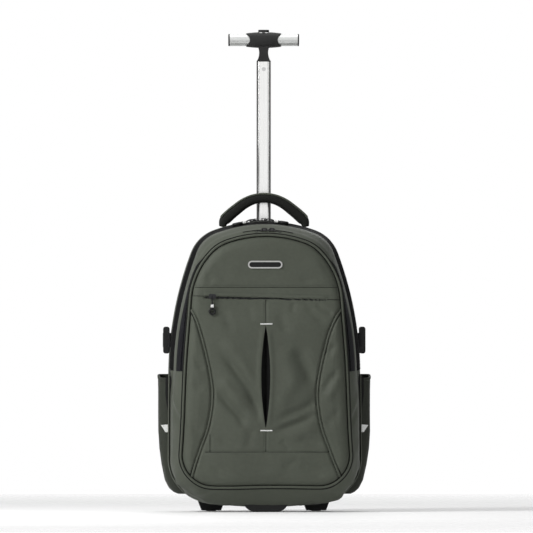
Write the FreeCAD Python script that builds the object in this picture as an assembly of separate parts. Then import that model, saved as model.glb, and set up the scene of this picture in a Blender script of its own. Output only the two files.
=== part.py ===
"""Rolling laptop backpack with a single telescopic pole, two wheels and a hinged front section.

Units are millimetres. +X is the wearer's right, +Y points to the back panel and +Z is up.
The origin is on the floor, in the middle of the bounding box. The pole is modelled extended.
The bag's outlines are chains of tangent arcs in XZ planes, lofted along Y.
"""
import FreeCAD
import Part
import math
import os
from collections import namedtuple

V = FreeCAD.Vector
X, Y, Z = V(1, 0, 0), V(0, 1, 0), V(0, 0, 1)

# ---------------------------------------------------------------- depth stations, from the main zip's plane
ZIP_Y = -15.6
PANEL_EDGE_Y = ZIP_Y - 80      # piped edge of the front panel
PANEL_FACE_Y = ZIP_Y - 88      # flat middle of the front panel
RIM_Y = ZIP_Y - 50             # where the front zip's band meets the gusset
FRONT_ZIP_Y = PANEL_EDGE_Y + 8   # the front zip's plane
TAPE = 14                      # width of one main zip tape
SLEEVE_Y = ZIP_Y + 36
SHEET_Y = ZIP_Y + 62           # front of the frame sheet
HANDLE_Y = ZIP_Y + 50
BACK_TAPER_Y = ZIP_Y + 76
TUBE_Y = ZIP_Y + 80
WHEEL_Y = ZIP_Y + 92
BACK_Y = ZIP_Y + 96            # outside of the back wall
PAD_Y = BACK_Y + 13            # outside of the back pads
STRAP_Y = PAD_Y + 12           # outside of the shoulder straps

# ---------------------------------------------------------------- heights
FOLD_Z = 240                   # the zips end here, and the front section folds here
GAP = 0.3                      # play between the two halves of the front section
FOLD_SWING = 16                # degrees that the front section folds forwards, about the zip's lower ends
STRAP_Z = 300                  # side straps
BADGE_X, BADGE_Z = -1.4, 432
POCKET_ZIP_Z = 374             # at x = 0
POCKET_ZIP_SLOPE = 1.6         # degrees, falling towards +X
BAR_Z = 826                    # axis of the grip bar
TUBE_TOP_Z = 788
COLLAR_TOP_Z = 510

# ---------------------------------------------------------------- walls and clearances
WALL = 3
SKIN = 1.2                     # zip tape
COIL = 1.0                     # how far a zip coil stands up
RUN = 0.05                     # radial play of a bearing on its axle

# ---------------------------------------------------------------- wheels
WHEEL_X = 92
WHEEL_R = 31
TYRE_WIDTH = 24
RIM_R = 22
AXLE_R = 4
BEARING_R = 11
BEARING_WIDTH = 7
HOUSING_R = 35.5
HOUSING_TOP_HALF = 23
HOUSING_FOOT_HALF = 17
HOUSING_FOOT_Z = 1.5
PLATE_Z, PLATE_TOP_Z = 14, 20  # base plate

# ---------------------------------------------------------------- pole
INNER = (25.4, 17.0, 7.0)      # width, depth and corner radius
OUTER = (29.6, 21.2, 8.8)
INNER_WALL, OUTER_WALL = 1.4, 1.6
SLIDE = 258                    # pole travel
LOCK_Z = 400                   # lock pin's height with the pole out
ROD_R = 2.5
BUTTON_TRAVEL = 2.5
BAR_R, BAR_WALL, BAR_HALF = 10.5, 1.5, 62
BARREL_R, BARREL_HALF = 14, 32

# ---------------------------------------------------------------- carry handle, in the plane y = HANDLE_Y
HANDLE_FOOT = (70, 503)
HANDLE_SHOULDER = (28, 541)
HANDLE_THICK, HANDLE_WIDE = 20, 24
HANDLE_SWING = 50              # degrees, forwards

# An outline is symmetric about x = 0. From the bottom: an arc of radius rb whose lowest point is zb, a corner arc rc that
# reaches half-width w, a side line leaning in by tilt degrees up to height z1, a side arc r1 up to normal angle a1,
# a shoulder arc r2 up to normal angle a2, and a crown arc.
Outline = namedtuple("Outline", "w zb rb rc tilt z1 r1 a1 r2 a2")
REAR = Outline(168, 10, 707, 77.5, 0.5, 242, 612, 20.7, 66, 70)
PANEL = Outline(150, 42.5, 3000, 56.5, 4.4, 372.5, 138, 42.7, 68, 70)


def inset(o, d, bottom=None):
    """The outline d further in, and bottom further up at its lowest point (d unless stated)."""
    up = d if bottom is None else bottom
    return o._replace(w=o.w - d, zb=o.zb + up, rb=o.rb - up, rc=o.rc - d, z1=o.z1 - d * math.sin(math.radians(o.tilt)),
                      r1=o.r1 - d, r2=o.r2 - d)


def polar(centre, radius, degrees):
    a = math.radians(degrees)
    return (centre[0] + radius * math.cos(a), centre[1] + radius * math.sin(a))


def arcs(o):
    """The right half's arcs, from the bottom: (centre, radius, first normal angle, last normal angle)."""
    bottom_centre = (0, o.zb + o.rb)
    corner_x = o.w - o.rc
    corner_z = bottom_centre[1] - math.sqrt((o.rb - o.rc) ** 2 - corner_x ** 2)
    low = math.degrees(math.atan2(corner_z - bottom_centre[1], corner_x))
    corner = (corner_x, corner_z)
    foot = polar(corner, o.rc, o.tilt)
    rise = (o.z1 - foot[1]) / math.cos(math.radians(o.tilt))
    top = polar(foot, rise, 90 + o.tilt)
    side = polar(top, -o.r1, o.tilt)
    shoulder = polar(polar(side, o.r1, o.a1), -o.r2, o.a1)
    last = polar(shoulder, o.r2, o.a2)
    crown_r = last[0] / math.cos(math.radians(o.a2))
    crown = (0, last[1] - crown_r * math.sin(math.radians(o.a2)))
    return [(bottom_centre, o.rb, -90, low), (corner, o.rc, low, o.tilt), (side, o.r1, o.tilt, o.a1),
            (shoulder, o.r2, o.a1, o.a2), (crown, crown_r, o.a2, 90)]


def crown(o):
    """(height of the crown arc's centre, its radius)."""
    centre, radius, _, _ = arcs(o)[-1]
    return centre[1], radius


def half_width(o, z):
    """Half-width of the outline on its side line or side arc at height z."""
    centre, radius, first, _ = arcs(o)[2]
    if z < o.z1:
        return polar(centre, radius, first)[0] + (o.z1 - z) * math.tan(math.radians(o.tilt))
    return centre[0] + math.sqrt(radius ** 2 - (z - centre[1]) ** 2)


def arc_edge(y, centre, radius, first, last, side=1):
    points = [polar(centre, radius, first + (last - first) * t) for t in (0, 0.5, 1)]
    a, b, c = [V(side * p[0], y, p[1]) for p in points]
    return Part.Arc(a, b, c).toShape()


def outline_wire(o, y):
    """The closed outline as a wire in the plane y: bottom, right side going up, crown, left side going down."""
    bottom, corner, side, shoulder, top = arcs(o)
    low, high = corner[2], shoulder[3]
    edges = [arc_edge(y, bottom[0], bottom[1], -180 - low, low)]
    right = [corner, side, shoulder]
    for n, (centre, radius, first, last) in enumerate(right):
        if n == 1:
            a, b = polar(corner[0], corner[1], corner[3]), polar(centre, radius, first)
            edges.append(Part.LineSegment(V(a[0], y, a[1]), V(b[0], y, b[1])).toShape())
        edges.append(arc_edge(y, centre, radius, first, last))
    edges.append(arc_edge(y, top[0], top[1], high, 180 - high))
    for n, (centre, radius, first, last) in enumerate(reversed(right)):
        edges.append(arc_edge(y, centre, radius, last, first, side=-1))
        if n == 1:
            a, b = polar(centre, radius, first), polar(corner[0], corner[1], corner[3])
            edges.append(Part.LineSegment(V(-a[0], y, a[1]), V(-b[0], y, b[1])).toShape())
    return Part.Wire(edges)


def loft(*sections):
    """Solid through (outline, y) sections, straight between them."""
    return Part.makeLoft([outline_wire(o, y) for o, y in sections], True, True)


def box(x0, x1, y0, y1, z0, z1):
    return Part.makeBox(x1 - x0, y1 - y0, z1 - z0, V(x0, y0, z0))


def rod(start, direction, radius, length):
    return Part.makeCylinder(radius, length, start, direction)


def polygon(points, place):
    """A face from 2D points; place turns (a, b) into a Vector."""
    corners = [place(*p) for p in points]
    return Part.Face(Part.makePolygon(corners + [corners[0]]))


def rounded(width, depth, radius, x, y, z0, z1):
    """An upright bar with a rounded rectangular section."""
    bar = box(x - width / 2, x + width / 2, y - depth / 2, y + depth / 2, z0, z1)
    upright = [e for e in bar.Edges if abs(e.Vertexes[0].Point.z - e.Vertexes[-1].Point.z) > 1e-6]
    return bar.makeFillet(radius, upright)


def above(shape, z):
    return shape.common(box(-400, 400, -400, 400, z, 1000))


def below(shape, z):
    return shape.common(box(-400, 400, -400, 400, -100, z))


def mirrored(shape):
    return shape.mirror(V(0, 0, 0), X)


def both(shape):
    """The shape and its mirror image, as separate solids."""
    return Part.makeCompound([shape, mirrored(shape)])


def moved(shape, x, y, z):
    shape = shape.copy()
    shape.translate(V(x, y, z))
    return shape


def turned(shape, centre, axis, degrees):
    shape = shape.copy()
    shape.rotate(centre, axis, degrees)
    return shape


# ---------------------------------------------------------------- the bag's shells
def front_solid(d):
    """The whole front section, inset by the wall d. With d at 0 it is the outside."""
    deep = SKIN + d
    return loft((inset(PANEL, 14 + d), PANEL_FACE_Y + d), (inset(PANEL, 4 + d), PANEL_FACE_Y + 2.5 + d),
                (inset(PANEL, d), PANEL_EDGE_Y + d), (inset(REAR, 7 + d, 1 + d), RIM_Y),
                (inset(REAR, 4 + d, d), ZIP_Y - TAPE - 2), (inset(REAR, deep, d), ZIP_Y - TAPE),
                (inset(REAR, deep, d), ZIP_Y - GAP / 2 + (1 if d else 0)))


def rear_solid(d):
    """The whole rear section, inset by the wall d. With d at 0 it is the outside."""
    return loft((inset(REAR, SKIN + d, d), ZIP_Y + GAP / 2 - (1 if d else 0)), (inset(REAR, SKIN + d, d), ZIP_Y + TAPE),
                (inset(REAR, d), ZIP_Y + TAPE + 2), (inset(REAR, d), BACK_TAPER_Y), (inset(REAR, 9 + d), BACK_Y - d))


def before(y):
    """Everything in front of the plane y."""
    return box(-300, 300, -300, y, -100, 700)


def fold_room():
    """The wedge in front of the fold line that the upper half folds into, where the cloth crumples."""
    deep = 200
    drop = deep * math.tan(math.radians(FOLD_SWING + 0.8))
    wedge = polygon([(ZIP_Y, FOLD_Z - GAP / 2), (ZIP_Y - deep, FOLD_Z - drop), (ZIP_Y - deep, FOLD_Z)],
                    lambda y, z: V(-300, y, z))
    return wedge.extrude(V(600, 0, 0))


def front_shells():
    outside = front_solid(0)
    shell = outside.cut(front_solid(WALL))
    strip = turned(box(-121, 121, PANEL_FACE_Y - 2, PANEL_FACE_Y + 1.6, POCKET_ZIP_Z - 5, POCKET_ZIP_Z + 5),
                   V(0, 0, POCKET_ZIP_Z), Y, POCKET_ZIP_SLOPE)
    upper = above(shell, FOLD_Z + GAP / 2)
    panel = upper.common(before(FRONT_ZIP_Y - GAP / 2)).cut(strip)
    gusset = upper.cut(before(FRONT_ZIP_Y + GAP / 2))
    return panel, gusset, below(shell, FOLD_Z - GAP / 2).cut(fold_room()), outside


def dividers():
    """The front section's back wall, split at the fold."""
    wall = loft((inset(REAR, SKIN + WALL + 0.05, WALL + 0.05), ZIP_Y - WALL - GAP / 2),
                (inset(REAR, SKIN + WALL + 0.05, WALL + 0.05), ZIP_Y - GAP / 2))
    return above(wall, FOLD_Z + GAP / 2), below(wall, FOLD_Z - GAP / 2).cut(fold_room())


def wheel_wells(grow):
    well = box(WHEEL_X - 26 - grow, WHEEL_X + 26 + grow, WHEEL_Y - 40 - grow, 200, -50, 71 + grow)
    plate = box(-70 - grow, 70 + grow, ZIP_Y + 54 - grow, 200, -50, PLATE_TOP_Z + 0.3 + grow)
    return well.fuse(mirrored(well)).fuse(plate)


def rear_shell():
    shell = rear_solid(0).cut(wheel_wells(0)).cut(rear_solid(WALL).cut(wheel_wells(WALL)))
    play = 0.2
    socket_hole = box(-SOCKET_HALF_X - play, SOCKET_HALF_X + play, TUBE_Y - SOCKET_HALF_Y - play,
                      TUBE_Y + SOCKET_HALF_Y + play, 0, 62)
    return shell.cut(collar_hole()).cut(socket_hole)


def collar_hole():
    """The hole in the bag's crown for the pole's collar."""
    return rounded(COLLAR[0] + 0.4, COLLAR[1] + 0.4, COLLAR[2], 0, TUBE_Y, 480, 530)


def frame_sheet():
    """Stiff sheet between the laptop compartment and the pole."""
    sheet = loft((inset(REAR, WALL + 1), SHEET_Y), (inset(REAR, WALL + 1), SHEET_Y + 2))
    return above(sheet, 78)


def laptop_sleeve():
    """Padded pouch on the frame sheet, open at the top."""
    outside = box(-140, 140, SLEEVE_Y, SHEET_Y - 0.1, 78, 330)
    inside = box(-134, 134, SLEEVE_Y + 5, SHEET_Y + 5, 84, 400)
    return outside.cut(inside)


def ring(o, outer, inner, y0, y1):
    """A band round the outline between two insets, above the fold."""
    solid = loft((inset(o, outer, 0), y0), (inset(o, outer, 0), y1))
    hole = loft((inset(o, inner, 1), y0 - 1), (inset(o, inner, 1), y1 + 1))
    return above(solid.cut(hole), FOLD_Z + 4)


def main_zip_tape(side):
    """One half of the main zip: a tape with its half of the coil. side is -1 for the front half and +1 for the rear."""
    near, far, coil = [ZIP_Y + side * v for v in (GAP, TAPE - 0.2, 2.6)]
    tape = ring(REAR, 0, SKIN, min(near, far), max(near, far))
    return tape.fuse(ring(REAR, -COIL, SKIN / 2, min(near, coil), max(near, coil)))


def front_zip():
    """Zip between the piped panel edge and the gusset, as two tapes: a raised skin with the coil at their joint."""
    y0, y1, mid = PANEL_EDGE_Y + 2, RIM_Y - 2, FRONT_ZIP_Y
    base = front_solid(0)
    raised = loft((inset(PANEL, -SKIN), PANEL_EDGE_Y), (inset(REAR, 7 - SKIN, 1), RIM_Y))
    coil = loft((inset(PANEL, -SKIN - COIL), PANEL_EDGE_Y), (inset(REAR, 7 - SKIN - COIL, 1), RIM_Y))
    band = raised.common(box(-300, 300, y0, y1, 0, 600))
    chain = coil.common(box(-300, 300, mid - 2.5, mid + 2.5, 0, 600))
    whole = above(band.fuse(chain).cut(base), FOLD_Z + 4)
    return whole.common(before(mid - GAP / 2)), whole.cut(before(mid + GAP / 2))


# ---------------------------------------------------------------- pockets, pads and straps
def side_pocket():
    """Open pouch on the right side. Its mouth slants down towards the front, and its wall curves in to its foot."""
    y0, y1 = ZIP_Y + 12, ZIP_Y + 86
    low, bend, out, foot = 45, 140, 186, 171

    def prism(d, y_from, y_to, top):
        drop = bend - low - d
        sag = out - foot
        radius = (drop ** 2 + sag ** 2) / (2 * sag)
        mid = math.asin(drop / radius) / 2
        a, b = V(out - d, y_from, bend), V(foot - d, y_from, low + d)
        m = V(out - d - radius * (1 - math.cos(mid)), y_from, bend - radius * math.sin(mid))
        edges = [Part.LineSegment(V(120, y_from, top), V(out - d, y_from, top)).toShape(),
                 Part.LineSegment(V(out - d, y_from, top), a).toShape(), Part.Arc(a, m, b).toShape(),
                 Part.LineSegment(b, V(120, y_from, low + d)).toShape(),
                 Part.LineSegment(V(120, y_from, low + d), V(120, y_from, top)).toShape()]
        return Part.Face(Part.Wire(edges)).extrude(V(0, y_to - y_from, 0))

    pouch = prism(0, y0, y1, 237).cut(prism(2, y0 + 2, y1 - 2, 260))
    mouth = polygon([(y0 - 1, 150), (y1 - 12, 237.5), (y1 - 12, 300), (y0 - 1, 300)], lambda y, z: V(100, y, z))
    return pouch.cut(mouth.extrude(V(150, 0, 0))).cut(rear_solid(-0.1))


def reflective_tabs():
    tab = box(172.5, 184.5, ZIP_Y + 11, ZIP_Y + 11.95, 136, 150)
    return Part.makeCompound([tab, mirrored(tab)])


def back_pads():
    """Two upright pads, a lumbar pad under them, and the yoke that the shoulder straps are sewn to."""
    def slab(x0, x1, z0, z1, r):
        s = box(x0, x1, BACK_Y, PAD_Y, z0, z1)
        along_y = [e for e in s.Edges if abs(e.Vertexes[0].Point.y - e.Vertexes[-1].Point.y) > 1e-6]
        return s.makeFillet(r, along_y)
    upright = slab(26, 122, 214, 452, 30)
    return Part.makeCompound([upright, mirrored(upright), slab(-122, 122, 100, 204, 30),
                              slab(-74, 74, 460, 488, 12)])


STRAP_LINE = [(40, 470), (62, 410), (88, 340), (98, 270), (92, 205)]
STRAP_HALF = 29


def shoulder_strap():
    """Padded right strap: an even-width band along a bent line, lying flat on the pad."""
    points = STRAP_LINE
    left, right = [], []
    for n, (x, z) in enumerate(points):
        before, after = points[max(n - 1, 0)], points[min(n + 1, len(points) - 1)]
        length = math.hypot(after[0] - before[0], after[1] - before[1])
        nx, nz = -(after[1] - before[1]) / length, (after[0] - before[0]) / length
        left.append(V(x + nx * STRAP_HALF, PAD_Y + 0.4, z + nz * STRAP_HALF))
        right.append(V(x - nx * STRAP_HALF, PAD_Y + 0.4, z - nz * STRAP_HALF))

    def curve(pts):
        c = Part.BSplineCurve()
        c.interpolate(pts)
        return c.toShape()
    edges = [curve(left), Part.LineSegment(left[-1], right[-1]).toShape(), curve(right[::-1]),
             Part.LineSegment(right[0], left[0]).toShape()]
    return Part.Face(Part.Wire(edges)).extrude(V(0, STRAP_Y - PAD_Y - 0.4, 0))


WEB_HALF, WEB_THICK = 12.5, 1.6
WEB_FROM, WEB_TO = (93, 192), (128, 92)


def strap_webbing():
    """Webbing from each adjuster down to the bag's lower corner."""
    (x0, z0), (x1, z1) = WEB_FROM, WEB_TO
    length = math.hypot(x1 - x0, z1 - z0)
    lean = math.degrees(math.atan2(x1 - x0, z0 - z1))
    web = box(-WEB_HALF, WEB_HALF, PAD_Y + 1, PAD_Y + 1 + WEB_THICK, -length, 0)
    web = moved(turned(web, V(0, 0, 0), Y, -lean), x0, 0, z0)
    anchor = moved(turned(box(-WEB_HALF, WEB_HALF, BACK_Y - 2, PAD_Y + 1, -length, -length + 2.5),
                          V(0, 0, 0), Y, -lean), x0, 0, z0)
    whole = web.fuse(anchor).cut(rear_solid(-0.1))
    return Part.makeCompound([whole, mirrored(whole)])


def strap_adjusters():
    """Ladder-lock buckles at the straps' lower ends: a frame with two slots."""
    x, z = WEB_FROM
    frame = box(x - 17, x + 17, PAD_Y + 3, PAD_Y + 9, z - 16, z + 10)
    for low in (z - 11, z - 1):
        frame = frame.cut(box(x - 13, x + 13, PAD_Y, PAD_Y + 20, low, low + 6))
    return Part.makeCompound([frame, mirrored(frame)])


SIDE_X = half_width(REAR, STRAP_Z)       # the bag's side at the side straps
SOCKET_Y = ZIP_Y + 22                    # front end of the side buckle
BUCKLE_HALF, BUCKLE_THICK = 23.5, 11
BUCKLE_X = half_width(REAR, STRAP_Z - BUCKLE_HALF) + 0.5
RELEASE = 19                             # travel that frees the prongs


def buckle_sockets():
    """Female halves of the side-release buckles: a hollow body with a side window above and below."""
    x0 = BUCKLE_X
    body = box(x0, x0 + BUCKLE_THICK, SOCKET_Y, SOCKET_Y + 30, STRAP_Z - BUCKLE_HALF, STRAP_Z + BUCKLE_HALF)
    along_y = [e for e in body.Edges if abs(e.Vertexes[0].Point.y - e.Vertexes[-1].Point.y) > 1e-6]
    body = body.makeFillet(4.2, along_y)
    cavity = box(x0 + 2.2, x0 + BUCKLE_THICK - 2.2, SOCKET_Y + 8, SOCKET_Y + 40, STRAP_Z - 19, STRAP_Z + 19)
    windows = box(x0 + 2.2, x0 + BUCKLE_THICK - 2.2, SOCKET_Y + 12, SOCKET_Y + 24, STRAP_Z - 30, STRAP_Z + 30)
    slot = box(x0 - 1, x0 + BUCKLE_THICK + 1, SOCKET_Y + 2, SOCKET_Y + 5, STRAP_Z - 13.2, STRAP_Z + 13.2)
    return both(body.cut(cavity).cut(windows).cut(slot))


def buckle_prong():
    """Male half: a crossbar with a webbing slot and two springy prongs that show in the windows."""
    x0, x1 = BUCKLE_X + 2.7, BUCKLE_X + BUCKLE_THICK - 2.7
    y0 = SOCKET_Y + 30.4
    bar = box(x0 - 1.5, x1 + 1.5, y0, y0 + 14, STRAP_Z - 21, STRAP_Z + 21)
    bar = bar.cut(box(x0 - 3, x1 + 3, y0 + 7, y0 + 10.5, STRAP_Z - 13.2, STRAP_Z + 13.2))
    for s in (-1, 1):
        prong = polygon([(y0 + 1, 12), (y0 - 19, 14.5), (y0 - 17.5, 18.2), (y0 - 7.5, 18.2), (y0 - 6, 16.2), (y0 + 1, 18)],
                        lambda y, z: V(x0, y, STRAP_Z + s * z))
        bar = bar.fuse(prong.extrude(V(x1 - x0, 0, 0)))
    guide = box(x0, x1, y0 - 18, y0 + 1, STRAP_Z - 1.5, STRAP_Z + 1.5)
    return bar.fuse(guide).removeSplitter()


def webbing_tabs():
    """Sewn webbing tabs at each end of the side straps."""
    x0 = SIDE_X + 0.4
    low, high = STRAP_Z - WEB_HALF, STRAP_Z + WEB_HALF
    front = box(x0, x0 + WEB_THICK, ZIP_Y + TAPE + 0.5, SOCKET_Y - 0.3, low, high)
    rear = box(x0 - 9, x0 + WEB_THICK, ZIP_Y + 86, ZIP_Y + 92, low, high)
    keep = rear_solid(-0.1)
    tabs = [front.cut(keep), rear.cut(keep)]
    return Part.makeCompound(tabs + [mirrored(tab) for tab in tabs])


# ---------------------------------------------------------------- carry handle
def handle_profile(offset):
    """Half-turn of the arched handle at an offset from its centreline: foot, shoulder, crown, as 2D points."""
    (fx, fz), (sx, sz) = HANDLE_FOOT, HANDLE_SHOULDER
    lean = math.atan2(sz - fz, fx - sx)
    nx, nz = math.sin(lean), math.cos(lean)
    radius = sx / nx
    centre_z = sz - radius * nz
    foot = (fx + offset * nx, fz + offset * nz)
    shoulder = (sx + offset * nx, sz + offset * nz)
    return foot, shoulder, (0, centre_z + radius + offset)


def carry_handle():
    """Padded grab handle: two straight legs and a round crown."""
    y = HANDLE_Y - HANDLE_WIDE / 2
    half = HANDLE_THICK / 2
    foot_o, shoulder_o, top_o = [V(p[0], y, p[1]) for p in handle_profile(half)]
    foot_i, shoulder_i, top_i = [V(p[0], y, p[1]) for p in handle_profile(-half)]

    def m(v):
        return V(-v.x, v.y, v.z)
    edges = [Part.LineSegment(m(foot_o), m(shoulder_o)).toShape(), Part.Arc(m(shoulder_o), top_o, shoulder_o).toShape(),
             Part.LineSegment(shoulder_o, foot_o).toShape(), Part.LineSegment(foot_o, foot_i).toShape(),
             Part.LineSegment(foot_i, shoulder_i).toShape(), Part.Arc(shoulder_i, top_i, m(shoulder_i)).toShape(),
             Part.LineSegment(m(shoulder_i), m(foot_i)).toShape(), Part.LineSegment(m(foot_i), m(foot_o)).toShape()]
    solid = Part.Face(Part.Wire(edges)).extrude(V(0, HANDLE_WIDE, 0))
    long_edges = [e for e in solid.Edges if abs(e.Vertexes[0].Point.y - e.Vertexes[-1].Point.y) < 1e-6
                  and e.Length > HANDLE_THICK + 1]
    solid = solid.makeFillet(6, long_edges)
    crown_part = above(rear_solid(-0.6), 440)
    axis = V(0, HANDLE_Y, HANDLE_FOOT[1])
    for step in range(6):
        solid = solid.cut(turned(crown_part, axis, X, -HANDLE_SWING * step / 5))
    return solid


# ---------------------------------------------------------------- pole and grip
COLLAR = (46.0, 30.0, 12.0)
SOCKET_HALF_X, SOCKET_HALF_Y = 20, 13.4


def inner_tube():
    """Sliding pole: an oval aluminium tube, drilled for the grip rivet and the lock pin."""
    w, d, r = INNER
    t = INNER_WALL
    tube = rounded(w, d, r, 0, TUBE_Y, LOCK_Z - 14, TUBE_TOP_Z)
    tube = tube.cut(rounded(w - 2 * t, d - 2 * t, r - t, 0, TUBE_Y, LOCK_Z - 20, TUBE_TOP_Z + 5))
    tube = tube.cut(rod(V(0, TUBE_Y - 20, TUBE_TOP_Z - 13), Y, 2.05, 20))
    return tube.cut(rod(V(0, TUBE_Y, LOCK_Z), Y, 3.1, 20))


def outer_tube():
    """Fixed pole inside the bag, with a lock hole for each end of the travel."""
    w, d, r = OUTER
    t = OUTER_WALL
    tube = rounded(w, d, r, 0, TUBE_Y, PLATE_TOP_Z + 2, 502)
    tube = tube.cut(rounded(w - 2 * t, d - 2 * t, r - t, 0, TUBE_Y, PLATE_TOP_Z - 10, 520))
    for z in (LOCK_Z, LOCK_Z - SLIDE):
        tube = tube.cut(rod(V(0, TUBE_Y, z), Y, 3.4, 20))
    return tube


def tube_collar():
    """Bezel where the pole leaves the bag."""
    w, d, r = COLLAR
    body = rounded(w, d, r, 0, TUBE_Y, 496, COLLAR_TOP_Z - 3)
    lip = rounded(w + 4, d + 4, r + 2, 0, TUBE_Y, 505, COLLAR_TOP_Z)
    rim = [e for e in lip.Edges if e.Vertexes[0].Point.z > COLLAR_TOP_Z - 0.1 and e.Vertexes[-1].Point.z > COLLAR_TOP_Z - 0.1]
    lip = lip.makeFillet(2, rim)
    hole = rounded(INNER[0] + 0.8, INNER[1] + 0.8, INNER[2] + 0.4, 0, TUBE_Y, 480, 530)
    seat = rounded(OUTER[0] + 0.1, OUTER[1] + 0.1, OUTER[2], 0, TUBE_Y, 480, 502.1)
    return body.fuse(lip).cut(hole).cut(seat).cut(rear_solid(-0.1).cut(collar_hole()))


def grip_bar():
    """Aluminium cross tube of the T grip, drilled for the push rod."""
    bar = rod(V(-BAR_HALF + 2.4, TUBE_Y, BAR_Z), X, BAR_R, 2 * BAR_HALF - 4.8)
    bar = bar.cut(rod(V(-BAR_HALF, TUBE_Y, BAR_Z), X, BAR_R - BAR_WALL, 2 * BAR_HALF))
    return bar.cut(rod(V(0, TUBE_Y, BAR_Z - 20), Z, ROD_R + 0.8, 40))


def bar_caps():
    """End plugs of the grip bar: a disc with a spigot inside the tube."""
    disc = rod(V(BAR_HALF - 2.4, TUBE_Y, BAR_Z), X, BAR_R + 0.2, 2.4)
    rim = [e for e in disc.Edges if abs(e.BoundBox.XMax - BAR_HALF) < 1e-3 and e.BoundBox.XLength < 1e-3]
    disc = disc.makeFillet(1.0, rim)
    spigot = rod(V(BAR_HALF - 12, TUBE_Y, BAR_Z), X, BAR_R - BAR_WALL, 9.7)
    cap = disc.fuse(spigot)
    return Part.makeCompound([cap, mirrored(cap)])


def grip_body():
    """Moulded grip: a barrel round the bar with scooped ends, and a waisted neck that plugs into the pole."""
    edge_r = BAR_R + 1.2
    bow = (BARREL_HALF ** 2 + (BARREL_R - edge_r) ** 2) / (2 * (BARREL_R - edge_r))
    a, b, c = V(-BARREL_HALF, 0, edge_r), V(0, 0, BARREL_R), V(BARREL_HALF, 0, edge_r)
    wire = Part.Wire([Part.Arc(a, b, c).toShape(), Part.LineSegment(c, V(BARREL_HALF, 0, 0)).toShape(),
                      Part.LineSegment(V(BARREL_HALF, 0, 0), V(-BARREL_HALF, 0, 0)).toShape(),
                      Part.LineSegment(V(-BARREL_HALF, 0, 0), a).toShape()])
    barrel = moved(Part.Face(wire).revolve(V(0, 0, 0), X, 360), 0, TUBE_Y, BAR_Z)
    for s in (-1, 1):
        barrel = barrel.cut(rod(V(s * 38, TUBE_Y - 30, BAR_Z), Y, 13.5, 60))
    neck = neck_solid()
    w, d, r = INNER
    t = INNER_WALL + 0.05
    plug = rounded(w - 2 * t, d - 2 * t, r - t, 0, TUBE_Y, TUBE_TOP_Z - 24, TUBE_TOP_Z + 1)
    body = barrel.fuse(neck).fuse(plug)
    body = body.cut(rod(V(-60, TUBE_Y, BAR_Z), X, BAR_R + 0.02, 120))
    body = body.cut(rod(V(0, TUBE_Y, TUBE_TOP_Z - 30), Z, ROD_R + 0.4, 80))
    body = body.cut(rod(V(0, TUBE_Y - 20, TUBE_TOP_Z - 13), Y, 2.05, 17))
    return body.cut(rounded(19.8, 12.8, 6.2, 0, TUBE_Y, BAR_Z + BAR_R + 0.4, BAR_Z + 30))


def neck_solid():
    """Waisted neck under the barrel, as wide as the pole at its foot."""
    low, high, waist_z, waist = TUBE_TOP_Z, BAR_Z - 7, TUBE_TOP_Z + 12, 8.0
    foot, top = 12.7, 12.5

    def side(s):
        return Part.Arc(V(s * foot, 0, low), V(s * waist, 0, waist_z), V(s * top, 0, high)).toShape()
    face = Part.Face(Part.Wire([side(1), Part.LineSegment(V(top, 0, high), V(-top, 0, high)).toShape(),
                                side(-1), Part.LineSegment(V(-foot, 0, low), V(foot, 0, low)).toShape()]))
    depth = INNER[1] - 0.6
    return moved(face.extrude(V(0, depth, 0)), 0, TUBE_Y - depth / 2, 0)


def button():
    """Release button on top of the grip, with its stem on the push rod."""
    cap = rounded(19, 12, 5.9, 0, TUBE_Y, BAR_Z + BAR_R + 0.5 + BUTTON_TRAVEL, BAR_Z + 18)
    top = [e for e in cap.Edges if e.Vertexes[0].Point.z > BAR_Z + 17.9 and e.Vertexes[-1].Point.z > BAR_Z + 17.9]
    return cap.makeFillet(1.2, top)


def push_rod():
    """Steel rod from the button down to the lock block, with a wedge tip."""
    top = BAR_Z + BAR_R + 0.4 + BUTTON_TRAVEL
    bottom = LOCK_Z + 0.8 + BUTTON_TRAVEL
    shaft = rod(V(0, TUBE_Y, bottom), Z, ROD_R, top - bottom)
    tip = polygon([(-ROD_R, 0), (ROD_R, 0), (ROD_R, 5)], lambda y, z: V(-ROD_R, TUBE_Y + y, bottom + z))
    return shaft.cut(tip.extrude(V(2 * ROD_R, 0, 0)))


def lock_block():
    """Plastic plug in the pole's lower end that guides the lock pin and the rod."""
    w, d, r = INNER
    t = INNER_WALL + 0.05
    block = rounded(w - 2 * t, d - 2 * t, r - t, 0, TUBE_Y, LOCK_Z - 14, LOCK_Z + 22)
    foot = rounded(w, d, r, 0, TUBE_Y, LOCK_Z - 17, LOCK_Z - 14)
    block = block.fuse(foot).cut(rod(V(0, TUBE_Y, LOCK_Z - 1), Z, ROD_R + 0.4, 30))
    return block.cut(rod(V(0, TUBE_Y - 7, LOCK_Z), Y, 3.1, 20))


def lock_pin():
    """Spring pin, drawn with its domed tip in the running gap between the two tubes."""
    length = 11
    tip_y = TUBE_Y + INNER[1] / 2 + 0.3
    pin = rod(V(0, tip_y - length, LOCK_Z), Y, 3, length)
    rim = [e for e in pin.Edges if e.BoundBox.YMin > tip_y - 0.01]
    pin = pin.makeFillet(1.5, rim)
    return pin.cut(box(-5, 5, tip_y - length - 1, tip_y - 3.5, LOCK_Z + 0.5, LOCK_Z + 5))


def grip_rivet():
    """Blind rivet that holds the neck's plug in the pole."""
    y = TUBE_Y - INNER[1] / 2
    head = rod(V(0, y - 0.9, TUBE_TOP_Z - 13), Y, 3.4, 0.9)
    return head.fuse(rod(V(0, y - 0.1, TUBE_TOP_Z - 13), Y, 2, 5))


# ---------------------------------------------------------------- base, wheels and foot
def wheel_centre():
    return V(WHEEL_X, WHEEL_Y, WHEEL_R)


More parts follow.
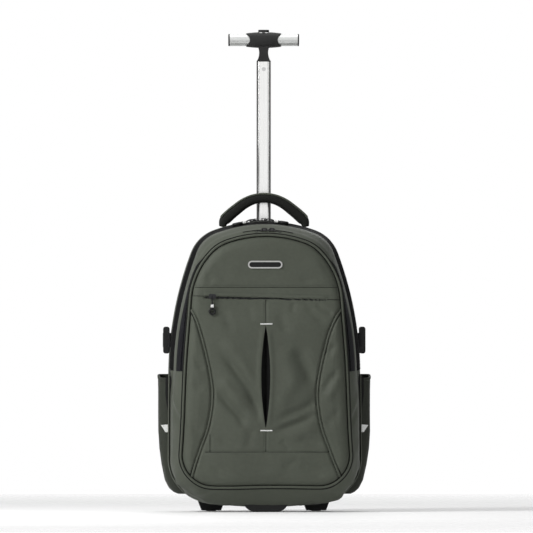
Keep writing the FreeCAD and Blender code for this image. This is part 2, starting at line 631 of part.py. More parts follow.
def wheel_housing():
    """Right wheel cover: an arched shell, wide above and narrow below, open under and behind the wheel."""
    c = wheel_centre()
    drum = rod(c - X * 30, X, HOUSING_R, 60)
    top_z = WHEEL_R + HOUSING_R
    drum = drum.fuse(box(c.x - 30, c.x + 30, c.y - HOUSING_R, c.y, 0, c.z))
    drum = drum.fuse(box(c.x - 30, c.x + 30, c.y, BACK_Y + 4, c.z, top_z))
    side = polygon([(-HOUSING_FOOT_HALF, HOUSING_FOOT_Z), (HOUSING_FOOT_HALF, HOUSING_FOOT_Z), (HOUSING_TOP_HALF, 18),
                    (HOUSING_TOP_HALF, top_z), (-HOUSING_TOP_HALF, top_z), (-HOUSING_TOP_HALF, 18)],
                   lambda x, z: V(c.x + x, c.y - 60, z))
    shell = drum.common(side.extrude(V(0, 160, 0)))
    half = TYRE_WIDTH / 2 + 1.5
    cavity = rod(c - X * half, X, WHEEL_R + 2, 2 * half)
    cavity = cavity.fuse(box(c.x - half, c.x + half, c.y - WHEEL_R - 2, c.y + 80, -5, 12))
    cavity = cavity.fuse(box(c.x - half, c.x + half, c.y, c.y + 80, 0, WHEEL_R + 14))
    shell = shell.cut(cavity).cut(rod(c - X * 40, X, AXLE_R + 0.02, 80))
    flange = box(c.x - HOUSING_TOP_HALF - 0.8, c.x - HOUSING_TOP_HALF + 6, c.y - 24, BACK_Y - 2, PLATE_Z, PLATE_TOP_Z)
    return shell.fuse(flange.cut(cavity).cut(rod(c - X * 40, X, AXLE_R + 0.02, 80)))


def axles():
    """Wheel axles: a steel shaft with a domed head outside the cover."""
    c = wheel_centre()
    shaft = rod(c - X * (HOUSING_TOP_HALF + 1), X, AXLE_R, 2 * HOUSING_TOP_HALF + 1)
    head = rod(c + X * HOUSING_TOP_HALF, X, 7, 2.5)
    rim = [e for e in head.Edges if e.BoundBox.XMin > c.x + HOUSING_TOP_HALF + 2.4]
    axle = shaft.fuse(head.makeFillet(1.2, rim))
    return Part.makeCompound([axle, mirrored(axle)])


def tyre():
    c = wheel_centre()
    solid = rod(c - X * (TYRE_WIDTH / 2), X, WHEEL_R, TYRE_WIDTH)
    edges = [e for e in solid.Edges if e.BoundBox.XLength < 1e-3]
    solid = solid.makeFillet(6, edges)
    return solid.cut(rod(c - X * 20, X, RIM_R, 40))


def hub():
    """Wheel hub: rim, web and boss with a bearing seat on each side, and round windows in the web."""
    c = wheel_centre()
    half = TYRE_WIDTH / 2 - 1.5
    solid = rod(c - X * half, X, RIM_R - 0.02, 2 * half)
    for s in (-1, 1):
        face = c + X * (s * 3 if s > 0 else -half - 1)
        groove = rod(face, X, RIM_R - 2.5, half - 2).cut(rod(face - X, X, BEARING_R + 2.4, half))
        seat = rod(c + X * (s * half if s < 0 else half - BEARING_WIDTH), X, BEARING_R + 0.02, BEARING_WIDTH)
        solid = solid.cut(groove).cut(seat)
    solid = solid.cut(rod(c - X * 20, X, AXLE_R + 1.5, 40))
    for n in range(5):
        hole = rod(c - X * 20 + Z * 16.4, X, 2.4, 40)
        solid = solid.cut(turned(hole, c, X, 72 * n))
    return solid


def bearings():
    """The wheel's two ball bearings, each drawn as one ring."""
    c = wheel_centre()
    half = TYRE_WIDTH / 2 - 1.5
    rings = []
    for start in (-half, half - BEARING_WIDTH):
        race = rod(c + X * start, X, BEARING_R, BEARING_WIDTH).cut(rod(c - X * 40, X, AXLE_R + RUN, 80))
        rings.append(race)
    return Part.makeCompound(rings)


SCREWS = [(-56, ZIP_Y + 62), (56, ZIP_Y + 62), (-56, ZIP_Y + 88), (56, ZIP_Y + 88)]


def base_plate():
    """Moulded base between the wheels: a floor, a ribbed kick plate up the back and a socket for the fixed pole."""
    floor = box(-68, 68, ZIP_Y + 56, BACK_Y + 5, PLATE_Z, PLATE_TOP_Z)
    kick = box(-68, 68, BACK_Y + 0.3, BACK_Y + 5, PLATE_Z, 88)
    corners = [e for e in kick.Edges if e.BoundBox.ZMin > 87.9 and e.BoundBox.XLength < 0.1]
    kick = kick.makeFillet(1.5, corners)
    plate = floor.fuse(kick)
    for x in range(-54, 55, 12):
        plate = plate.fuse(box(x - 1.5, x + 1.5, BACK_Y + 4, BACK_Y + 7.5, 22, 80))
    socket = box(-SOCKET_HALF_X, SOCKET_HALF_X, TUBE_Y - SOCKET_HALF_Y, TUBE_Y + SOCKET_HALF_Y, PLATE_TOP_Z - 1, 60)
    w, d, r = OUTER
    bore = rounded(w + 0.04, d + 0.04, r, 0, TUBE_Y, PLATE_TOP_Z + 2, 80)
    plate = plate.fuse(socket).cut(bore)
    for x, y in SCREWS:
        plate = plate.cut(rod(V(x, y, 0), Z, 2.05, 50))
    return plate


def base_screws():
    screws = []
    for x, y in SCREWS:
        head = rod(V(x, y, PLATE_Z - 2), Z, 3.6, 2)
        screws.append(head.fuse(rod(V(x, y, PLATE_Z - 0.1), Z, 2, 6)))
    return Part.makeCompound(screws)


def front_foot(front_outside):
    """Shallow skid under the front, rounded at its ends."""
    y0, y1 = ZIP_Y - 52, ZIP_Y - 4
    a, b, c, d = V(-38, y0, 16), V(-17, y0, 0), V(19, y0, 0), V(40, y0, 16)
    left = Part.Arc(a, V(-30.2, y0, 4.47), b).toShape()
    right = Part.Arc(c, V(32.2, y0, 4.47), d).toShape()
    wire = Part.Wire([left, Part.LineSegment(b, c).toShape(), right, Part.LineSegment(d, a).toShape()])
    skid = Part.Face(wire).extrude(V(0, y1 - y0, 0))
    return skid.cut(front_outside)


# ---------------------------------------------------------------- badge, zip sliders and pulls
def stadium(width, height, x, z, y0, y1):
    """A flat bar with round ends, facing -Y."""
    r = height / 2
    bar = box(x - width / 2 + r, x + width / 2 - r, y0, y1, z - r, z + r)
    for s in (-1, 1):
        bar = bar.fuse(rod(V(x + s * (width / 2 - r), y0, z), Y, r, y1 - y0))
    return bar.removeSplitter()


def badge():
    """A silver rim round a plain dark plate."""
    y = PANEL_FACE_Y
    rim = stadium(60, 13.4, BADGE_X, BADGE_Z, y - 3.2, y - 0.1).cut(stadium(55.4, 8.8, BADGE_X, BADGE_Z, y - 5, y - 0.6))
    plate = stadium(55.2, 8.6, BADGE_X, BADGE_Z, y - 2.4, y - 0.7)
    return rim, plate


def pocket_zip():
    """Straight zip of the front pocket, set into the panel."""
    y = PANEL_FACE_Y
    tape = box(-120.8, 120.8, y - 0.6, y + 1.4, POCKET_ZIP_Z - 4.8, POCKET_ZIP_Z + 4.8)
    coil = box(-112, 112, y - 1.4, y, POCKET_ZIP_Z - 2, POCKET_ZIP_Z + 2)
    return turned(tape.fuse(coil), V(0, 0, POCKET_ZIP_Z), Y, POCKET_ZIP_SLOPE)


BRIDGE = 4.1                    # height of the bridge bar's middle above the slider's base
WINDOW = 2.4                    # height of the middle of the window under it


def slider():
    """A zip slider at the origin: sliding along X with its back plate on z = 0 and its bridge above."""
    plate = polygon([(-6, -3), (-4, -4.2), (5, -4.2), (6.5, -2.4), (6.5, 2.4), (5, 4.2), (-4, 4.2), (-6, 3)],
                    lambda x, y: V(x, y, 0)).extrude(V(0, 0, 1.2))
    bridge = box(-4, 4.5, -1.2, 1.2, 1.1, BRIDGE + 0.5).cut(box(-2.4, 2.9, -2, 2, 1.1, BRIDGE - 0.5))
    top = [e for e in bridge.Edges if e.BoundBox.ZMin > BRIDGE + 0.4 and e.BoundBox.XLength < 0.1]
    return plate.fuse(bridge.makeFillet(0.6, top))


PULL_LENGTH = 35


def bar_down(width, low, high, depth):
    return box(-width / 2, width / 2, -depth / 2, depth / 2, low, high)


def pull_tag():
    """Crimp, neck and ring of a zip pull that hangs along -Z from the origin."""
    crimp = bar_down(6.4, -19, -13, 4.4)
    ring_z = 6.4 - PULL_LENGTH
    eye = rod(V(0, -1.9, ring_z), Y, 6.4, 3.8).cut(rod(V(0, -5, ring_z), Y, 3.0, 10))
    return crimp.fuse(bar_down(4.4, ring_z + 4, -18, 2.6)).fuse(eye)


def side_pull():
    """A pull whose cord crosses the window, with a strand along each side of the bridge."""
    cord = bar_down(7.0, -14, 0.7, 1.4).cut(bar_down(3.8, -15, -0.7, 4))
    return cord.fuse(pull_tag()).removeSplitter()


def hanging_pull():
    """A pull whose cord goes round the bridge bar, with a strand before it and one behind it."""
    inner, outer = 1.4, 2.5
    cord = rod(V(-0.8, 0, 0), X, outer, 1.6).fuse(box(-0.8, 0.8, -outer, outer, -14, 0))
    cord = cord.cut(rod(V(-2, 0, 0), X, inner, 4)).cut(box(-2, 2, -inner, inner, -12.9, 0))
    return cord.fuse(pull_tag()).removeSplitter()


MAIN_MEET = -8                  # x where the main sliders meet
FRONT_MEET = 4                  # x where the front zip's sliders meet
NOSE = 6.8                      # from a slider's middle to where two noses meet
POCKET_SLIDER_X = -94
MAIN_TRACK = (*crown(REAR), ZIP_Y, COIL + 0.4, 0)          # centre height, radius, y, lift, tilt


def front_track():
    """The front zip's crown lies between the panel's and the rim's, on a slope."""
    (z0, r0), (z1, r1) = crown(PANEL), crown(inset(REAR, 7, 1))
    depth = RIM_Y - PANEL_EDGE_Y
    share = (FRONT_ZIP_Y - PANEL_EDGE_Y) / depth
    tilt = math.degrees(math.atan2((z1 + r1) - (z0 + r0), depth))
    return z0 + (z1 - z0) * share, r0 + (r1 - r0) * share, FRONT_ZIP_Y, SKIN + COIL + 0.6, tilt


def track_angle(track, x):
    """Degrees from the top of the track to the point at x, positive towards +X."""
    return math.degrees(math.asin(x / track[1]))


def on_track(shape, track, nose, angle, height=0):
    """Places a shape made for a slider's base at the origin. nose is +1 with the slider's nose towards +X."""
    centre_z, radius, y, lift, tilt = track
    if nose < 0:
        shape = turned(shape, V(0, 0, 0), Z, 180)
    shape = turned(moved(shape, 0, 0, height), V(0, 0, 0), X, tilt)
    shape = moved(shape, 0, y, centre_z + radius + lift)
    return turned(shape, V(0, y, centre_z), Y, angle)


def track_pair(track, meet, side):
    """The slider and the pull of one side of a track, side being -1 for left. The noses meet at x = meet."""
    angle = track_angle(track, meet + side * NOSE)
    flat = turned(turned(side_pull(), V(0, 0, 0), Z, 90), V(0, 0, 0), Y, 90)
    return on_track(slider(), track, -side, angle), on_track(flat, track, -side, angle, WINDOW)


def pocket_place(shape, height):
    """From a slider's frame to the pocket zip, height being the distance out from the slider's base."""
    z = POCKET_ZIP_Z - POCKET_SLIDER_X * math.tan(math.radians(POCKET_ZIP_SLOPE))
    return moved(shape, POCKET_SLIDER_X, PANEL_FACE_Y - 1.7 - height, z)


def pocket_slider():
    body = turned(slider(), V(0, 0, 0), X, 90)
    return pocket_place(turned(body, V(0, 0, 0), Y, POCKET_ZIP_SLOPE), 0)


def pocket_pull():
    return pocket_place(hanging_pull(), BRIDGE)


# ---------------------------------------------------------------- everything, by node
def build():
    panel, gusset, lower, front_outside = front_shells()
    panel_tape, gusset_tape = front_zip()
    upper_divider, lower_divider = dividers()
    rim, plate = badge()
    parts = {
        "rear_shell": rear_shell(), "frame_sheet": frame_sheet(), "laptop_sleeve": laptop_sleeve(),
        "front_panel": panel, "front_gusset": gusset, "lower_front_shell": lower,
        "upper_divider": upper_divider, "lower_divider": lower_divider,
        "main_zip_front_tape": main_zip_tape(-1), "main_zip_rear_tape": main_zip_tape(1),
        "front_zip_panel_tape": panel_tape, "front_zip_gusset_tape": gusset_tape, "pocket_zip": pocket_zip(),
        "badge_frame": rim, "badge_plate": plate,
        "reflective_tabs": reflective_tabs(), "back_pads": back_pads(),
        "strap_webbing": strap_webbing(), "strap_adjusters": strap_adjusters(), "webbing_tabs": webbing_tabs(),
        "carry_handle": carry_handle(), "side_pockets": both(side_pocket()), "buckle_sockets": buckle_sockets(),
        "inner_tube": inner_tube(), "outer_tube": outer_tube(), "tube_collar": tube_collar(),
        "grip_body": grip_body(), "grip_bar": grip_bar(), "bar_caps": bar_caps(), "grip_rivet": grip_rivet(),
        "button": button(), "push_rod": push_rod(), "lock_block": lock_block(), "lock_pin": lock_pin(),
        "base_plate": base_plate(), "base_screws": base_screws(), "front_foot": front_foot(front_outside),
        "axles": axles(), "pocket_slider": pocket_slider(), "pocket_pull": pocket_pull(),
    }
    pairs = {"shoulder_strap": shoulder_strap, "buckle_prong": buckle_prong,
             "wheel_housing": wheel_housing, "tyre": tyre, "hub": hub, "bearings": bearings}
    for name, make in pairs.items():
        right = make()
        parts[name + "_right"] = right
        parts[name + "_left"] = mirrored(right)
    for side, sign in (("left", -1), ("right", 1)):
        parts["main_slider_" + side], parts["main_pull_" + side] = track_pair(MAIN_TRACK, MAIN_MEET, sign)
        parts["front_slider_" + side], parts["front_pull_" + side] = track_pair(front_track(), FRONT_MEET, sign)
    return parts


def main():
    os.makedirs("parts", exist_ok=True)
    for old in os.listdir("parts"):
        os.remove(os.path.join("parts", old))
    parts = build()
    whole = FreeCAD.BoundBox()
    for name, shape in sorted(parts.items()):
        shape.exportStep(os.path.join("parts", name + ".step"))
        whole.add(shape.BoundBox)
        if not shape.isValid() or not shape.Solids:
            print("bad solid:", name)
        print(f"{name:22s} solids {len(shape.Solids):2d}  volume {shape.Volume / 1000:9.2f} cm3")
    print("box", [round(v, 2) for v in (whole.XMin, whole.XMax, whole.YMin, whole.YMax, whole.ZMin, whole.ZMax)],
          "nodes", len(parts))


if __name__ == "__main__":
    main()
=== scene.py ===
"""Looks of the rolling laptop backpack: sewn skins, pads, zips, piping, webbing and materials round the CAD frame.

Everything is worked out in millimetres in the CAD's own frame: +X right, +Y to the back, +Z up, origin on the floor.
"""
import math
from collections import namedtuple
from contextlib import contextmanager

import bmesh
import bpy
import numpy as np
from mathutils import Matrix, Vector


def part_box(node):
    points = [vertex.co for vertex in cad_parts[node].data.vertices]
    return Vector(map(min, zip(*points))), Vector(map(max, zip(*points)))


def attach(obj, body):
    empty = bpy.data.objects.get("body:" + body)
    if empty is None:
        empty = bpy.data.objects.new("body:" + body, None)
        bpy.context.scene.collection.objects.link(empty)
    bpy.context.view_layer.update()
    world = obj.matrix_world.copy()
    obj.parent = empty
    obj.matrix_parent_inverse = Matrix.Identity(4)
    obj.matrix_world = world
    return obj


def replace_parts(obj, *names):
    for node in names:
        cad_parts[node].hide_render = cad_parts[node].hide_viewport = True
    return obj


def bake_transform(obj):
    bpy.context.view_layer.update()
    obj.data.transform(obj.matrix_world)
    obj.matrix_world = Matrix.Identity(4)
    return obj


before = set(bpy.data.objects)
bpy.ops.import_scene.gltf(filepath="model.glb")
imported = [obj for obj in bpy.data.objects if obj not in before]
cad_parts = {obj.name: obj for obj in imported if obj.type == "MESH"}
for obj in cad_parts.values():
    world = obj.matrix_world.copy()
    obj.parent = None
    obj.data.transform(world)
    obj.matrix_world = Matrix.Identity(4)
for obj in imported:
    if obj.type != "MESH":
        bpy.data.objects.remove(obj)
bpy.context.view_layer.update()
MM = 0.001


def low(node):
    return [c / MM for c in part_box(node)[0]]


def high(node):
    return [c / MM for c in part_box(node)[1]]


# ---------------------------------------------------------------- places read from the frame
ZIP_Y = high("front_gusset")[1] + 0.15           # main zip's plane
PANEL_FACE_Y = low("front_panel")[1]
PANEL_EDGE_Y = PANEL_FACE_Y + 8
FRONT_ZIP_Y = high("front_panel")[1] + 0.15
RIM_Y = ZIP_Y - 50
BACK_Y = high("rear_shell")[1]
BACK_TAPER_Y = BACK_Y - 20
FOLD_Z = low("front_gusset")[2] - 0.15
HANDLE_Y = (low("carry_handle")[1] + high("carry_handle")[1]) / 2
TAPE = 14
SKIN = 0.8                                        # how far the cloth stands off the CAD shell
CLOTH = 1.6                                       # thickness of the sewn cloth
THIN_CLOTH = 0.8                                  # thickness of the rear section's cloth
FORWARD, BACKWARD = (0, -1, 0), (0, 1, 0)

# ---------------------------------------------------------------- outlines, as in the CAD
# Half width, bottom height, radii of the bottom and its corner, tilt of the side, height where the side starts to
# curve, radius of that curve and its last angle, radius of the shoulder and its last angle.
Outline = namedtuple("Outline", "w zb rb rc tilt z1 r1 a1 r2 a2")
REAR = Outline(168, 10, 707, 77.5, 0.5, 242, 612, 20.7, 66, 70)
PANEL = Outline(150, 42.5, 3000, 56.5, 4.4, 372.5, 138, 42.7, 68, 70)


def inset(o, d, bottom=None):
    """The outline moved inwards by d, and its bottom edge by bottom."""
    up = d if bottom is None else bottom
    return o._replace(w=o.w - d, zb=o.zb + up, rb=o.rb - up, rc=o.rc - d, r1=o.r1 - d, r2=o.r2 - d,
                      z1=o.z1 - d * math.sin(math.radians(o.tilt)))


ARC_POINTS = 200                                  # points of each piece of a dense outline


def arc(centre, radius, first, last):
    a = np.radians(np.linspace(first, last, ARC_POINTS))
    return np.stack([centre[0] + radius * np.cos(a), centre[1] + radius * np.sin(a)], 1)


def dense_half(o):
    """The right half as a fine polyline from the bottom's middle to the crown's, and the index of the side's foot."""
    bottom_z = o.zb + o.rb
    corner_x = o.w - o.rc
    corner_z = bottom_z - math.sqrt((o.rb - o.rc) ** 2 - corner_x ** 2)
    turn = math.degrees(math.atan2(corner_z - bottom_z, corner_x))
    bottom = arc((0, bottom_z), o.rb, -90, turn)
    corner = arc((corner_x, corner_z), o.rc, turn, o.tilt)
    t = math.radians(o.tilt)
    rise = (o.z1 - corner[-1][1]) / math.cos(t)
    top = corner[-1] + rise * np.array([-math.sin(t), math.cos(t)])
    line = np.linspace(corner[-1], top, ARC_POINTS)
    side_c = top - o.r1 * np.array([math.cos(t), math.sin(t)])
    side = arc(side_c, o.r1, o.tilt, o.a1)
    a1 = math.radians(o.a1)
    shoulder_c = side[-1] - o.r2 * np.array([math.cos(a1), math.sin(a1)])
    shoulder = arc(shoulder_c, o.r2, o.a1, o.a2)
    a2 = math.radians(o.a2)
    r3 = shoulder[-1][0] / math.cos(a2)
    crown = arc((0, shoulder[-1][1] - r3 * math.sin(a2)), r3, o.a2, 90)
    pieces = [bottom, corner[1:], line[1:], side[1:], shoulder[1:], crown[1:]]
    return np.concatenate(pieces), len(bottom) + len(corner) - 2


def crown(o):
    """(height of the crown arc's centre, its radius)."""
    half, _ = dense_half(o)
    (x, z), top = half[-ARC_POINTS], half[-1][1]
    r = (x * x + (top - z) ** 2) / (2 * (top - z))
    return top - r, r


def distances(path):
    """How far along a polyline each of its points lies."""
    return np.concatenate([[0], np.cumsum(np.linalg.norm(np.diff(path, axis=0), axis=1))])


def along(points, shares):
    """Points at shares of a polyline's length."""
    s = distances(points)
    s /= s[-1]
    return np.stack([np.interp(shares, s, points[:, k]) for k in range(points.shape[1])], 1)


BELOW_CORNER, BELOW_FOLD, ABOVE_FOLD = 70, 50, 170   # segments of half a ring, from the bottom up
FOLD_INDEX = BELOW_CORNER + BELOW_FOLD
HALF = FOLD_INDEX + ABOVE_FOLD
LOOK = inset(PANEL, 1.2, 0.4)                     # the panel's visible edge


def smoothstep(t):
    t = np.clip(t, 0, 1)
    return t * t * (3 - 2 * t)


def hump(value, centre, width):
    """A smooth bump of height 1."""
    return np.exp(-((value - centre) / width) ** 2)


def settled(points):
    """Outline points with the panel's bottom edge sagging a little, and its cloth spread at the shoulders."""
    x, z = points[..., 0], points[..., 1]
    sag = 1.3 * np.sin(x / 33 + 1.2) * hump(z, 44, 14)
    spread = 0.034 * smoothstep((z - 110) / 180)
    return np.stack([x * (1 + spread), z + sag], -1)


def half_ring(o):
    """The right half at matching places: every outline has the same index at its foot, at the fold and at the top."""
    half, foot = dense_half(o)
    fold = int(np.argmax(half[:, 1] * (half[:, 0] > 50) >= FOLD_Z))
    a, b = half[fold - 1], half[fold]
    at_fold = a + (b - a) * (FOLD_Z - a[1]) / (b[1] - a[1])
    lower = along(half[:foot + 1], np.linspace(0, 1, BELOW_CORNER + 1))
    middle = along(np.vstack([half[foot:fold], at_fold]), np.linspace(0, 1, BELOW_FOLD + 1))
    upper = along(np.vstack([at_fold, half[fold:]]), np.linspace(0, 1, ABOVE_FOLD + 1))
    return np.vstack([lower, middle[1:], upper[1:]])


def ring(o):
    """The closed outline, anticlockwise from the bottom's middle, seen from the front."""
    half = half_ring(o)
    return np.vstack([half, (half * [-1, 1])[-2:0:-1]])


def upper_ring(o):
    """The outline above the fold, from the right side over the crown to the left side."""
    return ring(o)[FOLD_INDEX:2 * HALF - FOLD_INDEX + 1]


def lower_ring(o, further=0):
    """The outline below the fold, and some points further, from the left side under the bottom to the right side."""
    whole, reach = ring(o), FOLD_INDEX + further
    return np.vstack([whole[2 * HALF - reach:], whole[:reach + 1]])


def below_zips(o):
    """The outline below the zips' lower ends, from the left side under the bottom to the right side."""
    return lower_ring(o, 3)


def in_plane(points, y):
    """2D outline points as 3D points at depth y (a number, or one per point)."""
    return np.stack([points[:, 0], np.broadcast_to(np.asarray(y, float), len(points)), points[:, 1]], 1)


# ---------------------------------------------------------------- mesh helpers
def link(name, mesh, material=None):
    obj = bpy.data.objects.new(name, mesh)
    bpy.context.scene.collection.objects.link(obj)
    if material:
        for m in material if isinstance(material, (list, tuple)) else [material]:
            mesh.materials.append(m)
    return obj


def mesh_object(name, verts, faces, material, smooth=True):
    """An object from points in millimetres."""
    mesh = bpy.data.meshes.new(name)
    mesh.from_pydata((np.asarray(verts, float) * MM).tolist(), [], [tuple(f) for f in faces])
    if smooth:
        mesh.shade_smooth()
    mesh.validate()
    return link(name, mesh, material)


def grid_faces(rows, cols, loop=False):
    r, c = np.meshgrid(np.arange(rows - 1), np.arange(cols if loop else cols - 1), indexing="ij")
    d = (c + 1) % cols
    return np.stack([r * cols + c, r * cols + d, (r + 1) * cols + d, (r + 1) * cols + c], -1).reshape(-1, 4)


def face_outwards(obj, centre):
    """Turns all faces over if they look towards centre more than away from it."""
    mesh = obj.data
    n, c = np.zeros(len(mesh.polygons) * 3), np.zeros(len(mesh.polygons) * 3)
    mesh.polygons.foreach_get("normal", n)
    mesh.polygons.foreach_get("center", c)
    away = c.reshape(-1, 3) - np.asarray(centre, float) * MM
    if (n.reshape(-1, 3) * away).sum() < 0:
        mesh.flip_normals()


def grid_object(name, points, material, loop=False, centre=(0, 0, 250), keep=None):
    """A sheet through points[row, column]. keep(centres) says which faces stay."""
    rows, cols = points.shape[:2]
    verts = points.reshape(-1, 3)
    faces = grid_faces(rows, cols, loop)
    if keep is not None:
        faces = faces[keep(verts[faces].mean(1))]
    obj = mesh_object(name, verts, faces, material)
    drop_loose(obj)
    face_outwards(obj, centre)
    return obj


@contextmanager
def editing(mesh):
    """A mesh's editable copy, written back at the end."""
    bm = bmesh.new()
    bm.from_mesh(mesh)
    yield bm
    bm.to_mesh(mesh)
    bm.free()


def drop_loose(obj):
    with editing(obj.data) as bm:
        bmesh.ops.delete(bm, geom=[v for v in bm.verts if not v.link_faces], context="VERTS")


def applied(obj):
    """Applies every modifier."""
    graph = bpy.context.evaluated_depsgraph_get()
    graph.update()
    mesh = bpy.data.meshes.new_from_object(obj.evaluated_get(graph))
    obj.modifiers.clear()
    obj.data = mesh
    return obj


def modified(obj, kind, **settings):
    """Adds a modifier and applies it."""
    modifier = obj.modifiers.new(kind.lower(), kind)
    for key, value in settings.items():
        setattr(modifier, key, value)
    return applied(obj)


def subdivide(obj):
    return modified(obj, "SUBSURF", levels=1, render_levels=1)


def bevel(obj, width, segments):
    return modified(obj, "BEVEL", width=width * MM, segments=segments)


def sharpen(obj, degrees=50):
    """Edges that bend more than this are shaded sharp."""
    obj.data.set_sharp_from_angle(angle=math.radians(degrees))


def thicken(obj, thickness=CLOTH, inside=0):
    """Gives a sheet its thickness, inwards. inside is the lining's place in the material list."""
    modified(obj, "SOLIDIFY", thickness=thickness * MM, offset=-1, use_even_offset=False, material_offset=inside,
             material_offset_rim=0)
    sharpen(obj)
    return obj


def frames(path, up):
    """Unit tangent, side and up vectors along a path. up is a rough direction, or one per point."""
    path = np.asarray(path, float)
    tangent = np.gradient(path, axis=0)
    tangent /= np.linalg.norm(tangent, axis=1)[:, None]
    up = np.broadcast_to(np.asarray(up, float), path.shape)
    side = np.cross(tangent, up)
    side /= np.linalg.norm(side, axis=1)[:, None]
    return tangent, side, np.cross(side, tangent)


def sweep(name, path, up, section, material, closed=False, caps=True):
    """A solid whose section (side, up offsets in mm, one loop) runs along a path."""
    path = np.asarray(path, float)
    _, side, rise = frames(path, up)
    section = np.asarray(section, float)
    verts = path[:, None] + side[:, None] * section[None, :, :1] + rise[:, None] * section[None, :, 1:]
    rows, cols = len(path), len(section)
    faces = [tuple(f) for f in grid_faces(rows, cols, True)]
    if closed:
        last = (rows - 1) * cols
        faces += [(last + c, last + (c + 1) % cols, (c + 1) % cols, c) for c in range(cols)]
    elif caps:
        faces += [tuple(range(cols))[::-1], tuple(range((rows - 1) * cols, rows * cols))]
    obj = mesh_object(name, verts.reshape(-1, 3), faces, material)
    tidy(obj)
    return obj


def tidy(obj, sharp=50):
    """Turns a solid's faces outwards and marks its sharp edges."""
    with editing(obj.data) as bm:
        bmesh.ops.recalc_face_normals(bm, faces=bm.faces)
    sharpen(obj, sharp)


def angles(n):
    """The angles of n points round a circle."""
    return np.linspace(0, 2 * math.pi, n, endpoint=False)


def circle(radius, n):
    a = angles(n)
    return np.stack([radius * np.cos(a), radius * np.sin(a)], 1)


def flat_section(width, thickness, corner=None, n=4):
    """A rounded rectangle."""
    r = min(width, thickness) / 2 * 0.98 if corner is None else corner
    points = []
    for cx, cz, first in ((1, 1, 0), (-1, 1, 90), (-1, -1, 180), (1, -1, 270)):
        a = np.radians(np.linspace(first, first + 90, n))
        centre = np.array([cx * (width / 2 - r), cz * (thickness / 2 - r)])
        points.append(centre + r * np.stack([np.cos(a), np.sin(a)], 1))
    return np.vstack(points)


def smooth_path(points, n):
    """A Catmull-Rom curve through given points, evenly spaced."""
    p = np.asarray(points, float)
    p = np.vstack([2 * p[0] - p[1], p, 2 * p[-1] - p[-2]])
    t = np.linspace(0, 1, 24, endpoint=False)[:, None]
    out = []
    for a, b, c, d in zip(p[:-3], p[1:-2], p[2:-1], p[3:]):
        square, cube = 2 * a - 5 * b + 4 * c - d, 3 * b - a - 3 * c + d
        out.append(0.5 * (2 * b + (c - a) * t + square * t ** 2 + cube * t ** 3))
    out.append(p[-2:-1])
    return along(np.vstack(out), np.linspace(0, 1, n))


def repeat(name, path, up, pitch, verts, faces, material, start=0.0):
    """Copies of a small mesh (x along the path, y to its side, z up) set every pitch along a path, as one mesh."""
    length = distances(path)[-1]
    shares = (np.arange(int(length / pitch - start)) + 0.5 + start) * pitch / length
    shares = shares[shares < 1]
    where = along(path, shares)
    tangent = along(path, np.clip(shares + 1e-3, 0, 1)) - along(path, np.clip(shares - 1e-3, 0, 1))
    tangent /= np.linalg.norm(tangent, axis=1)[:, None]
    ups = along(up, shares) if np.ndim(up) > 1 else np.broadcast_to(up, where.shape)
    side = np.cross(ups, tangent)
    side /= np.linalg.norm(side, axis=1)[:, None]
    rise = np.cross(tangent, side)
    v = np.asarray(verts, float)
    placed = (where[:, None] + tangent[:, None] * v[None, :, :1] + side[:, None] * v[None, :, 1:2]
              + rise[:, None] * v[None, :, 2:])
    every = np.concatenate([np.asarray(faces) + n * len(v) for n in range(len(where))])
    obj = mesh_object(name, placed.reshape(-1, 3), every, material)
    tidy(obj, 40)
    return obj


def bead(length, width, height, n=6):
    """A small stitch-like bead: verts and quad faces, x along, z up."""
    rows = [(-0.5, 0.25), (-0.36, 0.85), (0, 1), (0.36, 0.85), (0.5, 0.25)]
    verts = [(length * x, width / 2 * s * math.cos(t), height / 2 * s * math.sin(t))
             for x, s in rows for t in angles(n)]
    return verts, grid_faces(len(rows), n, True)


def joined(name, objs):
    """Joins meshes into one object, keeping their materials."""
    with bpy.context.temp_override(active_object=objs[0], selected_editable_objects=objs, selected_objects=objs):
        bpy.ops.object.join()
    objs[0].name = objs[0].data.name = name
    return objs[0]


# ---------------------------------------------------------------- materials
def add_node(tree, kind, inputs=None, **settings):
    """A node whose inputs are other nodes' sockets or plain values."""
    node = tree.nodes.new("ShaderNode" + kind)
    for key, value in settings.items():
        setattr(node, key, value)
    for key, value in (inputs or {}).items():
        if isinstance(value, bpy.types.NodeSocket):
            tree.links.new(value, node.inputs[key])
        else:
            node.inputs[key].default_value = value
    return node


